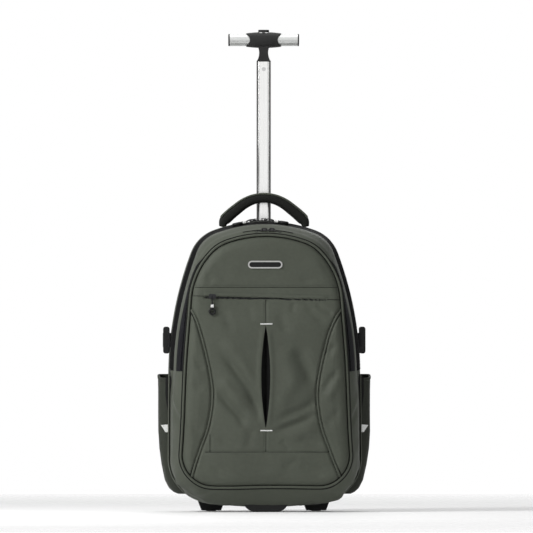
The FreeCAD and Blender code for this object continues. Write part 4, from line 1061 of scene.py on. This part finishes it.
def gusset_lower():
    """Cloth round the lower half of the front section, from the piping to the seam with the rear section."""
    rows = gusset_rows(below_zips, 0.02, gusset_back(below_zips))
    seam = below_zips(inset(REAR, 2.4, 1))
    for y in (ZIP_Y - 9, ZIP_Y - 1.5):
        rows.append(outward(in_plane(seam, y), 0.4))
    rows = np.array(rows)
    rows = rows + hanging_folds(rows)
    obj = grid_object("gusset_lower", rows, [OLIVE, LINING])
    thicken(obj, CLOTH, 1)
    to_section(obj)


def hanging_folds(points):
    """Soft sags and diagonal puckers round the bottom corners."""
    x, y, z = points[..., 0], points[..., 1], points[..., 2]
    across = smoothstep((y - PANEL_EDGE_Y - 2) / 10) * smoothstep((ZIP_Y - 12 - y) / 14)
    around = np.arctan2(z - 130, x)
    wave = (0.9 * np.sin(9 * around + y / 13) + 0.6 * np.sin(17 * around - y / 8 + 1)
            + 0.5 * np.sin(31 * around + y / 19)) * across
    corner = hump(np.abs(x), 125, 45) * hump(z, 45, 55)
    wave = wave * (0.3 + 2.4 * corner)
    depth = (y - PANEL_EDGE_Y) / (ZIP_Y - PANEL_EDGE_Y)
    pull = (z - 152 - 84 * depth) / (7 + 6 * depth)
    wave = wave + (1.1 * hump(pull, 1.9, 1) - 2.4 * hump(pull, 0, 1)) * (z > 120)
    d = np.stack([x / 168, np.zeros_like(x), (z - 150) / 140], -1)
    d /= np.linalg.norm(d, axis=-1)[..., None]
    return d * wave[..., None]


def rear_skin():
    """Cloth round the rear section, open where the base plate and the wheel housings sit, and under the collar."""
    stations = [(ZIP_Y + TAPE, 0.4), (ZIP_Y + TAPE + 1.5, -0.7), (ZIP_Y + 30, -1.0), (ZIP_Y + 51, -1.1),
                (ZIP_Y + 64, -1.0), (BACK_TAPER_Y, -0.9), (BACK_TAPER_Y + 9, 2.2), (BACK_Y - 4, 6.4),
                (BACK_Y + 0.9, 9.4)]
    base_x, base_z = 119, 72                      # the opening at the base plate and the wheel housings
    pole_x, pole_z = 17, 480                      # the opening under the collar
    rows = np.array([in_plane(ring(inset(REAR, d)), y) for y, d in stations])

    def clear(centres):
        x, y, z = np.abs(centres[:, 0]), centres[:, 1], centres[:, 2]
        base = (x < base_x) & (y > ZIP_Y + 51) & (z < base_z)
        pole = (x < pole_x) & (y > ZIP_Y + 66) & (y < BACK_Y - 5) & (z > pole_z)
        return ~(base | pole)

    obj = grid_object("rear_skin", rows, [OLIVE, LINING], loop=True, keep=clear)
    subdivide(obj)
    thicken(obj, THIN_CLOTH, 1)
    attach(obj, "case")
    lap = [(ZIP_Y - 8, -0.2), (ZIP_Y - 7.4, -1.4), (ZIP_Y, -1.9), (ZIP_Y + TAPE, -1.7), (ZIP_Y + TAPE + 3, -1.2)]
    rows = np.array([in_plane(lower_ring(inset(REAR, d)), y) for y, d in lap])
    obj = grid_object("seam_lap", rows, [OLIVE, LINING])
    thicken(obj, THIN_CLOTH, 1)
    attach(obj, "case")


def front_zip():
    """Navy tapes and coil between the panel and the gusset."""
    count = len(upper_ring(LOOK))
    keep = slice(3, count - 3)
    ends = navy_end(upper_ring(LOOK))
    sunk = 2.8 * over_crown(upper_ring(LOOK))

    def strip(name, first, last):
        rows = []
        for t in np.linspace(0, 1, 8):
            share = np.broadcast_to(first + (last - first) * t, count)
            lift = SKIN + 1.1 + 0.9 * np.sin(math.pi * share) - sunk
            rows.append(outward(band_points(upper_ring, share), lift)[keep])
        obj = grid_object(name, np.array(rows), [NAVY, NAVY])
        return thicken(obj, 0.9)

    gap = 0.006                                   # between the two tapes, as a share of the slope
    coil = outward(band_points(upper_ring, ZIP_SHARE), SKIN + 1.7 - sunk)[keep]
    normal = outward(coil, 1.0) - coil + np.array([0, -0.6, 0])
    halves = (("front_zip_panel", 1, 0.03, ZIP_SHARE - gap, to_flap, 0.0),
              ("front_zip_gusset", -1, ZIP_SHARE + gap, ends, to_ride("front_section"), 0.5))
    for name, side, first, last, rider, start in halves:
        teeth = teeth_row(name, coil, normal, 2.4, tooth(1.2, 2.6, 1.5), side, NAVY_NYLON, start)
        obj = joined(name, [strip(name + "_cloth", first, last), teeth])
        rider(obj)
        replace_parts(obj, name + "_tape")
    # A black strip where the sliders meet: painted shadow of the slit under the gusset's lap.
    lap = outward(band_points(upper_ring, ZIP_SHARE), SKIN + 3.6)
    slit = lap[np.abs(lap[:, 0] - FRONT_MEET) < 46]
    obj = sweep("front_zip_slit_shade", slit, (0, -0.5, 1), flat_section(1.7, 0.9), BLACK_TAPE)
    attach(obj, "front_section")


def main_zip():
    """Black tapes and coil round the crown, half on each section."""
    edge = upper_ring(inset(REAR, 0.7))
    keep = slice(4, len(edge) - 4)
    coil = in_plane(edge, ZIP_Y)[keep]
    normal = outward(coil, 1.0) - coil
    full = 1 - 0.5 * smoothstep((upper_ring(REAR)[:, 1] - 440) / 50)     # the tape's slope is less over the crown
    shapes = {"front": [(0.3, 0.7), (2.6, 0.8), (5, 2.0), (8, 4.0), (11, 6.4), (TAPE, 8.2), (TAPE + 2.5, 9.0)],
              "rear": [(0.3, 0.7), (2.6, 0.6), (5, 0.6), (9, 0.7), (TAPE - 1.5, 0.9), (TAPE + 0.6, 1.0)]}
    for part, side, body, start in (("front", -1, "front_section", 0.0), ("rear", 1, "case", 0.5)):
        name = "main_zip_" + part
        kept = keep if side < 0 else slice(None)
        rows = np.array([in_plane(mixed(edge, upper_ring(inset(REAR, d)), full), ZIP_Y + side * dy)[kept]
                         for dy, d in shapes[part]])
        cloth = grid_object(name + "_cloth", rows, [BLACK_TAPE, BLACK_TAPE])
        subdivide(cloth)
        thicken(cloth, 0.9)
        teeth = teeth_row(name, coil, normal, 2.6, tooth(1.3, 3.0, 1.6), -side, NYLON, start)
        obj = joined(name, [cloth, teeth])
        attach(obj, body)
        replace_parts(obj, name + "_tape")


# ---------------------------------------------------------------- back panel, pads and straps
def back_panel():
    """Mesh-covered back wall above the base plate."""
    o = inset(REAR, 9.4)
    half = half_ring(o)
    foot = int(np.argmax((half[:, 1] > 90) & (half[:, 0] > 60)))
    shoulder = FOLD_INDEX + int(ABOVE_FOLD * 0.6)
    bottom = np.array([[0, half[foot][1]], half[foot]])
    points = coons(bottom, half[foot:shoulder + 1], half[shoulder:][::-1], 90, np.linspace(-1, 1, 71))
    x, z = points[..., 0], points[..., 1]
    edge = np.minimum(1, distance_to_path(x, z, half[foot:])[0] / 14)
    swell = 1.6 * smoothstep(edge) + 0.3 * np.sin(x / 19) * np.sin(z / 23)
    obj = grid_object("back_panel", np.stack([x, BACK_Y + 0.5 + swell, z], -1), [MESH, LINING])
    thicken(obj, THIN_CLOTH, 1)
    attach(obj, "case")
    piping("back_piping", in_plane(ring(o)[BELOW_CORNER:1 - BELOW_CORNER], BACK_Y + 0.6), BACKWARD, to_ride("case"))
    side = half[int(np.argmax(half[:, 0] > 105)):foot + 3]
    rows = np.array([np.stack([px * np.linspace(-1, 1, 41), np.full(41, BACK_Y + 0.7), np.full(41, pz)], 1)
                     for px, pz in side])
    obj = grid_object("back_skirt", rows, [BLACK_CLOTH, LINING])
    thicken(obj, 0.6, 1)
    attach(obj, "case")


SIM_STEPS = 20                                    # frames of each cloth simulation


def puffed(name, node, material, voxel, cap):
    """A padded piece: the CAD solid's mesh, remeshed, blown up by cloth simulation by cap at most, and smoothed."""
    obj = link(name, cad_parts[node].data.copy())
    modified(obj, "REMESH", mode="VOXEL", voxel_size=voxel * MM)
    rest = points_of(obj)
    cloth = obj.modifiers.new("cloth", "CLOTH")
    cloth.settings.use_pressure = True
    cloth.settings.uniform_pressure_force = 4.0
    cloth.settings.tension_stiffness = cloth.settings.compression_stiffness = 30
    cloth.settings.bending_stiffness = 1.5
    cloth.settings.effector_weights.gravity = 0
    cloth.settings.quality = 4
    cloth.point_cache.frame_start, cloth.point_cache.frame_end = 1, SIM_STEPS
    for step in range(1, SIM_STEPS + 1):
        bpy.context.scene.frame_set(step)
    applied(obj)
    bpy.context.scene.frame_set(1)
    moved = points_of(obj) - rest
    size = np.linalg.norm(moved, axis=1)[:, None]
    set_points(obj, rest + moved * np.minimum(1, cap * MM / np.maximum(size, 1e-9)))
    modified(obj, "SMOOTH", factor=0.5, iterations=6)
    subdivide(obj)
    obj.data.materials.clear()
    obj.data.materials.append(material)
    obj.data.shade_smooth()
    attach(obj, "case")
    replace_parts(obj, node)


def points_of(obj):
    co = np.zeros(len(obj.data.vertices) * 3)
    obj.data.vertices.foreach_get("co", co)
    return co.reshape(-1, 3)


def set_points(obj, points):
    obj.data.vertices.foreach_set("co", points.ravel())
    obj.data.update()


def padding():
    puffed("back_pads_padded", "back_pads", MESH, voxel=4.5, cap=5)
    for side in ("left", "right"):
        puffed("shoulder_strap_padded_" + side, "shoulder_strap_" + side, BLACK_CLOTH, voxel=3.5, cap=4)


# ---------------------------------------------------------------- carry handle
HANDLE_THICK, HANDLE_WIDE = 20, 24
HANDLE_FOOT_Z = 494
HANDLE_ROUND, HANDLE_ROWS = 40, 90                # points round the handle, and sections along it


def handle_path():
    """The handle's centreline, a wide arch."""
    half = [(73, 498), (70.5, 508), (60.5, 518.5), (48, 529), (34.5, 539), (18, 546.5), (0, 549)]
    return smooth_path(half + [(-x, z) for x, z in half[-2::-1]], HANDLE_ROWS)


def to_handle(obj):
    """Bakes the piece's placement into its mesh. The handle's feet are sewn to the bag."""
    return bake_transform(obj)


def carry_handle():
    path = handle_path()
    spine = in_plane(path, HANDLE_Y)
    n, m = HANDLE_ROWS, HANDLE_ROUND
    a = angles(m)
    wide, tall = (np.sign(c) * np.abs(c) ** 0.72 / 2 for c in (np.cos(a), np.sin(a)))
    _, side, rise = frames(spine, np.stack([path[:, 0] * 0.5, np.zeros(n), np.full(n, 40)], 1))
    s = np.linspace(0, 1, n)
    ends = 0.62 + 0.38 * smoothstep(np.minimum(s, 1 - s) / 0.09)
    thick = HANDLE_THICK * ends * (1 - 0.15 * np.sin(math.pi * s) ** 4)
    verts = (spine[:, None] + side[:, None] * HANDLE_WIDE * wide[None, :, None]
             + rise[:, None] * thick[:, None, None] * tall[None, :, None])
    verts[..., 2] = np.maximum(verts[..., 2], HANDLE_FOOT_Z)
    faces = [tuple(f) for f in grid_faces(n, m, True)] + [tuple(range(m))[::-1], tuple(range((n - 1) * m, n * m))]
    body = mesh_object("carry_handle_padded", verts.reshape(-1, 3), faces, HANDLE_CLOTH)
    tidy(body, 60)
    subdivide(body)
    to_handle(body)
    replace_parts(body, "carry_handle")
    for name, sign in (("front", -1), ("back", 1)):
        welt = spine + rise * (thick / 2 - 1.3)[:, None] + side * sign * (HANDLE_WIDE / 2 - 1.8)
        obj = sweep("handle_welt_" + name, welt[6:-6], rise[6:-6], circle(1.7, 8), OLIVE)
        to_handle(obj)


# ---------------------------------------------------------------- side pockets, tabs and straps
POCKET_Y = (low("side_pockets")[1], high("side_pockets")[1])
POCKET_FOOT_Z = 31
# How far out the side pocket stands, as (height, x).
POCKET_PROFILE = [(30, 150), (34, 159), (41, 167), (55, 174), (69, 177), (83, 180), (111, 184), (140, 186),
                  (237, 186)]


def side_at(o, z):
    half = half_ring(o)
    start = int(np.argmax(half[:, 0] > 100))
    return np.interp(z, half[start:, 1], half[start:, 0])


def mouth_z(y):
    y0, y1 = POCKET_Y
    return 237.5 - 9 * np.clip((y1 - 12 - y) / (y1 - y0), 0, 1) ** 1.5


def side_pocket(sign, name):
    """Stretch pocket: rounded front and back edges, fuller in the middle, gathered at its elastic mouth."""
    y0, y1 = POCKET_Y[0] + 0.5, POCKET_Y[1] + 1
    v = np.linspace(0, 1, 56)
    y = y0 + (y1 - y0) * v
    t = np.linspace(0, 1, 70)[:, None]
    z = POCKET_FOOT_Z + (mouth_z(y)[None] - POCKET_FOOT_Z) * t
    zs, outs = np.array(POCKET_PROFILE).T
    out = np.interp(z, zs, outs)
    wall = side_at(inset(REAR, -1.4), np.clip(z, 30, 400))
    profile = np.clip(1 - np.abs(2 * v - 1) ** 4.5, 0, 1) ** 0.55
    gather = 0.5 * np.sin(y / 3.1) * smoothstep((t - 0.86) / 0.14) + 0.5 * np.sin(y / 9 + z / 21) * (1 - t)
    x = wall + (out - 0.6 - wall) * profile[None] + gather * profile[None]
    points = np.stack([sign * x, np.broadcast_to(y, x.shape), z], -1)
    obj = grid_object("side_pocket_" + name, points, [OLIVE_DARK, OLIVE_DARK], centre=(0, 35, 140))
    thicken(obj, 1.4, 1)
    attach(obj, "case")
    edge = points[-1].copy()
    edge[:, 0] -= sign * 0.6
    binding = sweep("pocket_binding_" + name, edge, (sign, 0, 0), flat_section(6, 3.0, 1.4), OLIVE_DARK)
    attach(binding, "case")
    return obj


def pocket_shade(sign, name):
    """A narrow black strip beside the seam, painted shadow of the gap between the pocket's front and the bag."""
    z = np.linspace(mouth_z(POCKET_Y[0]) + 5, 150, 40)
    wide = 7.5 * smoothstep((z - 150) / 60) + 2.6
    inner = side_at(inset(REAR, 3.5), z)
    y = np.full(40, POCKET_Y[0] - 1.0)
    points = np.array([np.stack([sign * (inner + wide * t), y - 0.8 * math.sin(math.pi * t), z], 1)
                       for t in np.linspace(0, 1, 7)])
    # The strip's black cloth is painted shadow of the gap beside the pocket.
    obj = grid_object("pocket_shade_strip_" + name, points, [BLACK_CLOTH, BLACK_CLOTH], centre=(0, 60, 180))
    thicken(obj, 0.9)
    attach(obj, "case")


def reflective_tab(sign, name):
    """A folded loop of reflective tape at the low end of the pocket's mouth."""
    x = sign * abs(low("reflective_tabs")[0])
    y = low("reflective_tabs")[1]
    corners = [(-3, 151.5), (-16.5, 152.5), (-16.5, 139), (-11, 139)]
    verts = []
    for depth in (0, 1.2):
        for dx, z in corners:
            verts.append((x + sign * dx, y - 0.4 + depth + 0.012 * (152 - z), z))
    obj = mesh_object("reflective_tab_" + name, verts, BOX_FACES, TAB, smooth=False)
    tidy(obj)
    bevel(obj, 0.4, 2)
    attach(obj, "case")
    return obj


STRAP_SECTION = flat_section(25, 1.7, 0.8)


def side_straps(sign, name):
    """Webbing of the side strap: sewn end, socket loop, and the free run to the rear tab."""
    z = (low("buckle_sockets")[2] + high("buckle_sockets")[2]) / 2
    socket_y, prong_y = low("buckle_sockets")[1], high("buckle_prong_right")[1]
    side_x = side_at(REAR, z) + 0.8
    out = low("buckle_prong_right")[0] + 4
    front = [(side_x + 1.6, socket_y - 9), (side_x + 2.6, socket_y - 2), (out + 0.5, socket_y + 3.5),
             (out + 3.4, socket_y + 5.5)]
    rear = [(out + 4.6, prong_y - 3), (out + 5.2, prong_y + 2), (out + 2.5, prong_y + 8),
            (side_x + 2.0, prong_y + 15), (side_x - 0.6, BACK_TAPER_Y + 11), (side_x - 5.0, BACK_Y - 3),
            (side_x - 8.4, BACK_Y + 0.4)]
    for part, points in (("front", front), ("rear", rear)):
        xy = smooth_path(points, 24)
        path = np.stack([sign * xy[:, 0], xy[:, 1], np.full(24, z)], 1)
        _, side, _ = frames(path, (0, 0, 1))
        obj = sweep("side_strap_%s_%s" % (part, name), path, side, STRAP_SECTION, WEBBING)
        if part == "front":
            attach(obj, "case")
        else:
            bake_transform(obj)
        if part == "front" and sign > 0:
            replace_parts(obj, "webbing_tabs")


def strap_webs():
    """Adjuster webbing from each shoulder strap to the bag's lower corner, and its loose tail."""
    y = low("strap_adjusters")[1]
    runs = {"web": (50, [(93, y + 2.5, 205), (93, y + 3.2, 190), (100, y + 0.5, 168), (113, y - 1.5, 130),
                         (125, y - 6, 104), (129, BACK_Y + 1.5, 93)]),
            "tail": (30, [(93, y + 7, 182), (94, y + 8, 172), (99, y + 7, 140), (103, y + 5, 118)])}
    for name, sign in (("left", -1), ("right", 1)):
        for part, (n, points) in runs.items():
            path = smooth_path(np.array(points) * [sign, 1, 1], n)
            obj = sweep("adjuster_%s_%s" % (part, name), path, BACKWARD, STRAP_SECTION, WEBBING)
            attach(obj, "case")
            if part == "web" and sign > 0:
                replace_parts(obj, "strap_webbing")


# ---------------------------------------------------------------- zip pulls
WINDOW = 2.4                                      # height of the eye in a slider's bridge
NOSE = 6.8                                        # from where two sliders meet to the middle of each
MAIN_MEET, FRONT_MEET = -8, 4                     # x of the places where the sliders meet


def track(which):
    """Centre height, radius, depth, lift and tilt of a crown track, as in the CAD."""
    if which == "main":
        return (*crown(REAR), ZIP_Y, 1.4, 0.0)
    (z0, r0), (z1, r1) = crown(PANEL), crown(inset(REAR, 7, 1))
    tilt = math.degrees(math.atan2((z1 + r1) - (z0 + r0), RIM_Y - PANEL_EDGE_Y))
    return z0 + (z1 - z0) * ZIP_SHARE, r0 + (r1 - r0) * ZIP_SHARE, FRONT_ZIP_Y, 2.8, tilt


def turn(points, axis, degrees):
    """Points turned about a principal axis through the origin."""
    a = math.radians(degrees)
    c, s = math.cos(a), math.sin(a)
    m = {"X": [[1, 0, 0], [0, c, -s], [0, s, c]], "Y": [[c, 0, s], [0, 1, 0], [-s, 0, c]],
         "Z": [[c, -s, 0], [s, c, 0], [0, 0, 1]]}[axis]
    return np.asarray(points, float) @ np.array(m).T


def pull_pieces(node, place, loop, crimp_look):
    """A pull: cord loop, crimp, and a ring knob on a short neck. place maps its own frame to the bag's."""
    name = node + "_look"
    cord = sweep(name + "_cord", place(loop), (0.3, -1, 0.4), circle(0.95, 8), NYLON)
    crimp = solid_between(name + "_crimp", place, (-3.0, 3.0), (-2.0, 2.0), (-19.5, -14), crimp_look, 0.9)
    neck = solid_between(name + "_neck", place, (-2.1, 2.1), (-1.3, 1.3), (-23, -19), PLASTIC, 0.7)
    knob = ring_knob(name + "_ring", place)
    for obj in (cord, crimp, neck, knob):
        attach(obj, node)
    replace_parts(cord, node)


def solid_between(name, place, xs, ys, zs, material, edge):
    """A rounded block in a pull's own frame."""
    verts = [(x, y, z) for z in zs for x, y in ((xs[0], ys[0]), (xs[1], ys[0]), (xs[1], ys[1]), (xs[0], ys[1]))]
    obj = mesh_object(name, place(verts), BOX_FACES, material)
    tidy(obj)
    bevel(obj, edge, 3)
    obj.data.shade_smooth()
    sharpen(obj, 40)
    return obj


def ring_knob(name, place):
    """A flattened ring facing the pull's front."""
    radius, thick, depth, z, n, m = 4.7, 1.7, 1.9, -26.4, 36, 12
    verts = [((radius + thick * math.cos(s)) * math.cos(t), depth * math.sin(s),
              z + (radius + thick * math.cos(s)) * math.sin(t)) for t in angles(n) for s in angles(m)]
    faces = grid_faces(n, m, True).tolist()
    faces += [((n - 1) * m + c, (n - 1) * m + (c + 1) % m, (c + 1) % m, c) for c in range(m)]
    obj = mesh_object(name, place(verts), faces, PLASTIC)
    tidy(obj)
    return obj


def crown_pulls():
    """The four pulls on the crown. The front zip's are small, and lie in the slit under the gusset's edge."""
    a = np.linspace(0, math.pi, 9)
    top = np.stack([2.6 * np.cos(a), np.zeros(9), 1.6 * np.sin(a) - 2.0], 1)
    looks = {"main": (MAIN_MEET, 1.6, -9, 13, 1.35, SILVER), "front": (FRONT_MEET, 0.3, -5, 6, 0.52, PLASTIC)}
    for which, (meet, arch, droop, swing, size, crimp_look) in looks.items():
        strand = np.array([[2.7, arch * 0.85, -4.5], [2.8, arch, -8.5], [2.4, arch * 0.4, -12.5], [2.2, 0.0, -15.0]])
        loop = smooth_path(np.vstack([strand[::-1], top, strand * [-1, 1, 1]]), 70)
        centre_z, radius, y, lift, tilt = track(which)
        for side, sign in (("left", -1), ("right", 1)):
            angle = math.degrees(math.asin((meet + sign * NOSE) / radius))

            def place(points, angle=angle, sign=sign):
                flat = turn(turn(np.asarray(points, float) * size, "Z", 90), "Y", 90 + droop)
                if sign > 0:
                    flat = turn(flat, "Z", 180)
                flat = turn(flat, "Z", -sign * swing)
                flat = turn(flat + [0, 0, WINDOW * min(size, 1)], "X", tilt)
                flat = flat + [0, 0, radius + lift - max(0, 1 - size) * 3]
                return turn(flat, "Y", angle) + [0, y, centre_z]

            pull_pieces("%s_pull_%s" % (which, side), place, loop, crimp_look)


def pocket_pull():
    box_low, box_high = low("pocket_pull"), high("pocket_pull")
    x = (box_low[0] + box_high[0]) / 2
    top = box_high[2] - 2.5
    y = low("pocket_slider")[1] + 0.5
    strand = [(0, 1.7, -13.8), (0, 2.1, -7), (0, 1.95, -1), (0, 1.3, 1.5)]
    loop = smooth_path(strand + [(0, 0, 2.0)] + [(0, -b, c) for _, b, c in strand[::-1]], 50)
    pull_pieces("pocket_pull", lambda points: np.asarray(points) + [x, y, top], loop, SILVER)


# ---------------------------------------------------------------- stage
FRAME_WIDTH = 0.93275        # metres across the picture at the bag
CAMERA_DISTANCE = 30.0
CAMERA_HEIGHT = 0.40
CAMERA_TURN = math.radians(1.4)
SENSOR_WIDTH = 36            # of the camera, in millimetres
AIM = (0.0034, 0.0, 0.4288)
ROOM, SHINE = 0.22, 0.95     # brightness of the room as a light, and as metal mirrors it
LAMP_AIM = (0, 0, 0.35)
# Name, place, size and power of each lamp.
LAMPS = [("key", (-1.55, -1.1, 1.4), 0.6, 38), ("fill", (2.6, -2.0, 1.6), 1.6, 9), ("top", (0.1, 0.1, 3.0), 1.4, 12),
         ("front", (0.0, -10.0, 0.9), 8.0, 88), ("back", (0.6, 2.6, 1.8), 1.8, 11)]


def stage():
    mesh = bpy.data.meshes.new("floor")
    with editing(mesh) as bm:
        bmesh.ops.create_circle(bm, cap_ends=True, radius=6, segments=96)
    floor = link("floor", mesh, pale_floor())


def pale_floor():
    """A pale floor that fades into the room."""
    n = Nodes("pale_floor")
    n.finish((0.97, 0.97, 0.97), 0.6, Emission_Strength=0.09)
    coords = n.add("TexCoord").outputs["Object"]
    distance = n.add("VectorMath", {0: coords}, operation="LENGTH").outputs["Value"]
    fade = n.spread(distance, 0, 1, 0.9, 2.6)
    clear = n.add("BsdfTransparent")
    mix = n.add("MixShader", {"Fac": fade, 1: n.shader.outputs[0], 2: clear.outputs[0]})
    n.tree.links.new(mix.outputs[0], n.tree.nodes["Material Output"].inputs["Surface"])
    return n.material


def lights():
    """A white room with dark sides, which edge the metal, and five soft lamps. The camera sees plain white."""
    world = bpy.data.worlds.new("studio")
    bpy.context.scene.world = world
    world.use_nodes = True
    tree = world.node_tree

    def maths(operation, *values):
        return add_node(tree, "Math", dict(enumerate(values)), operation=operation).outputs[0]

    def spread(value, low_in, high_in, low_out, high_out):
        return add_node(tree, "MapRange", {"Value": value, "From Min": low_in, "From Max": high_in,
                                           "To Min": low_out, "To Max": high_out}).outputs["Result"]

    split = add_node(tree, "SeparateXYZ", {0: add_node(tree, "TexCoord").outputs["Generated"]})
    room = spread(maths("ABSOLUTE", split.outputs["X"]), 0.66, 0.86, ROOM, ROOM * 0.12)
    height = spread(split.outputs["Z"], -0.3, 0.7, 0.35, 1.15)
    rays = add_node(tree, "LightPath")
    gain = maths("ADD", maths("MULTIPLY", rays.outputs["Is Glossy Ray"], SHINE / ROOM - 1), 1.0)
    shade = maths("MULTIPLY", maths("MULTIPLY", room, height), gain)
    brightness = maths("MAXIMUM", shade, rays.outputs["Is Camera Ray"])
    tree.links.new(brightness, tree.nodes["Background"].inputs["Color"])
    for name, place, size, power in LAMPS:
        data = bpy.data.lights.new(name, "AREA")
        data.energy = power
        data.size = size
        lamp = bpy.data.objects.new(name, data)
        lamp.visible_camera = False
        bpy.context.scene.collection.objects.link(lamp)
        lamp.location = place
        lamp.rotation_euler = (Vector(LAMP_AIM) - Vector(place)).to_track_quat("-Z", "Y").to_euler()


def camera():
    data = bpy.data.cameras.new("camera")
    data.sensor_width = SENSOR_WIDTH
    data.lens = SENSOR_WIDTH * CAMERA_DISTANCE / FRAME_WIDTH
    data.clip_end = 200
    eye = bpy.data.objects.new("camera", data)
    bpy.context.scene.collection.objects.link(eye)
    eye.location = (AIM[0] - CAMERA_DISTANCE * math.sin(CAMERA_TURN), -CAMERA_DISTANCE * math.cos(CAMERA_TURN),
                    CAMERA_HEIGHT)
    eye.rotation_euler = (Vector(AIM) - eye.location).to_track_quat("-Z", "Y").to_euler()
    bpy.context.scene.camera = eye
    bpy.context.scene.view_settings.view_transform = "Standard"


# ---------------------------------------------------------------- the whole scene
camera()
lights()
stage()
dress_frame()
front_panel()
panel_piping()
panel_stitches()
seam_shadow_lines()
bar_tacks()
pocket_zip()
gusset_upper()
gusset_lower()
rear_skin()
front_zip()
main_zip()
back_panel()
padding()
carry_handle()
for side_name, side_sign in (("left", -1), ("right", 1)):
    pocket = side_pocket(side_sign, side_name)
    pocket_shade(side_sign, side_name)
    tab = reflective_tab(side_sign, side_name)
    side_straps(side_sign, side_name)
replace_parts(pocket, "side_pockets")
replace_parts(tab, "reflective_tabs")
strap_webs()
crown_pulls()
pocket_pull()
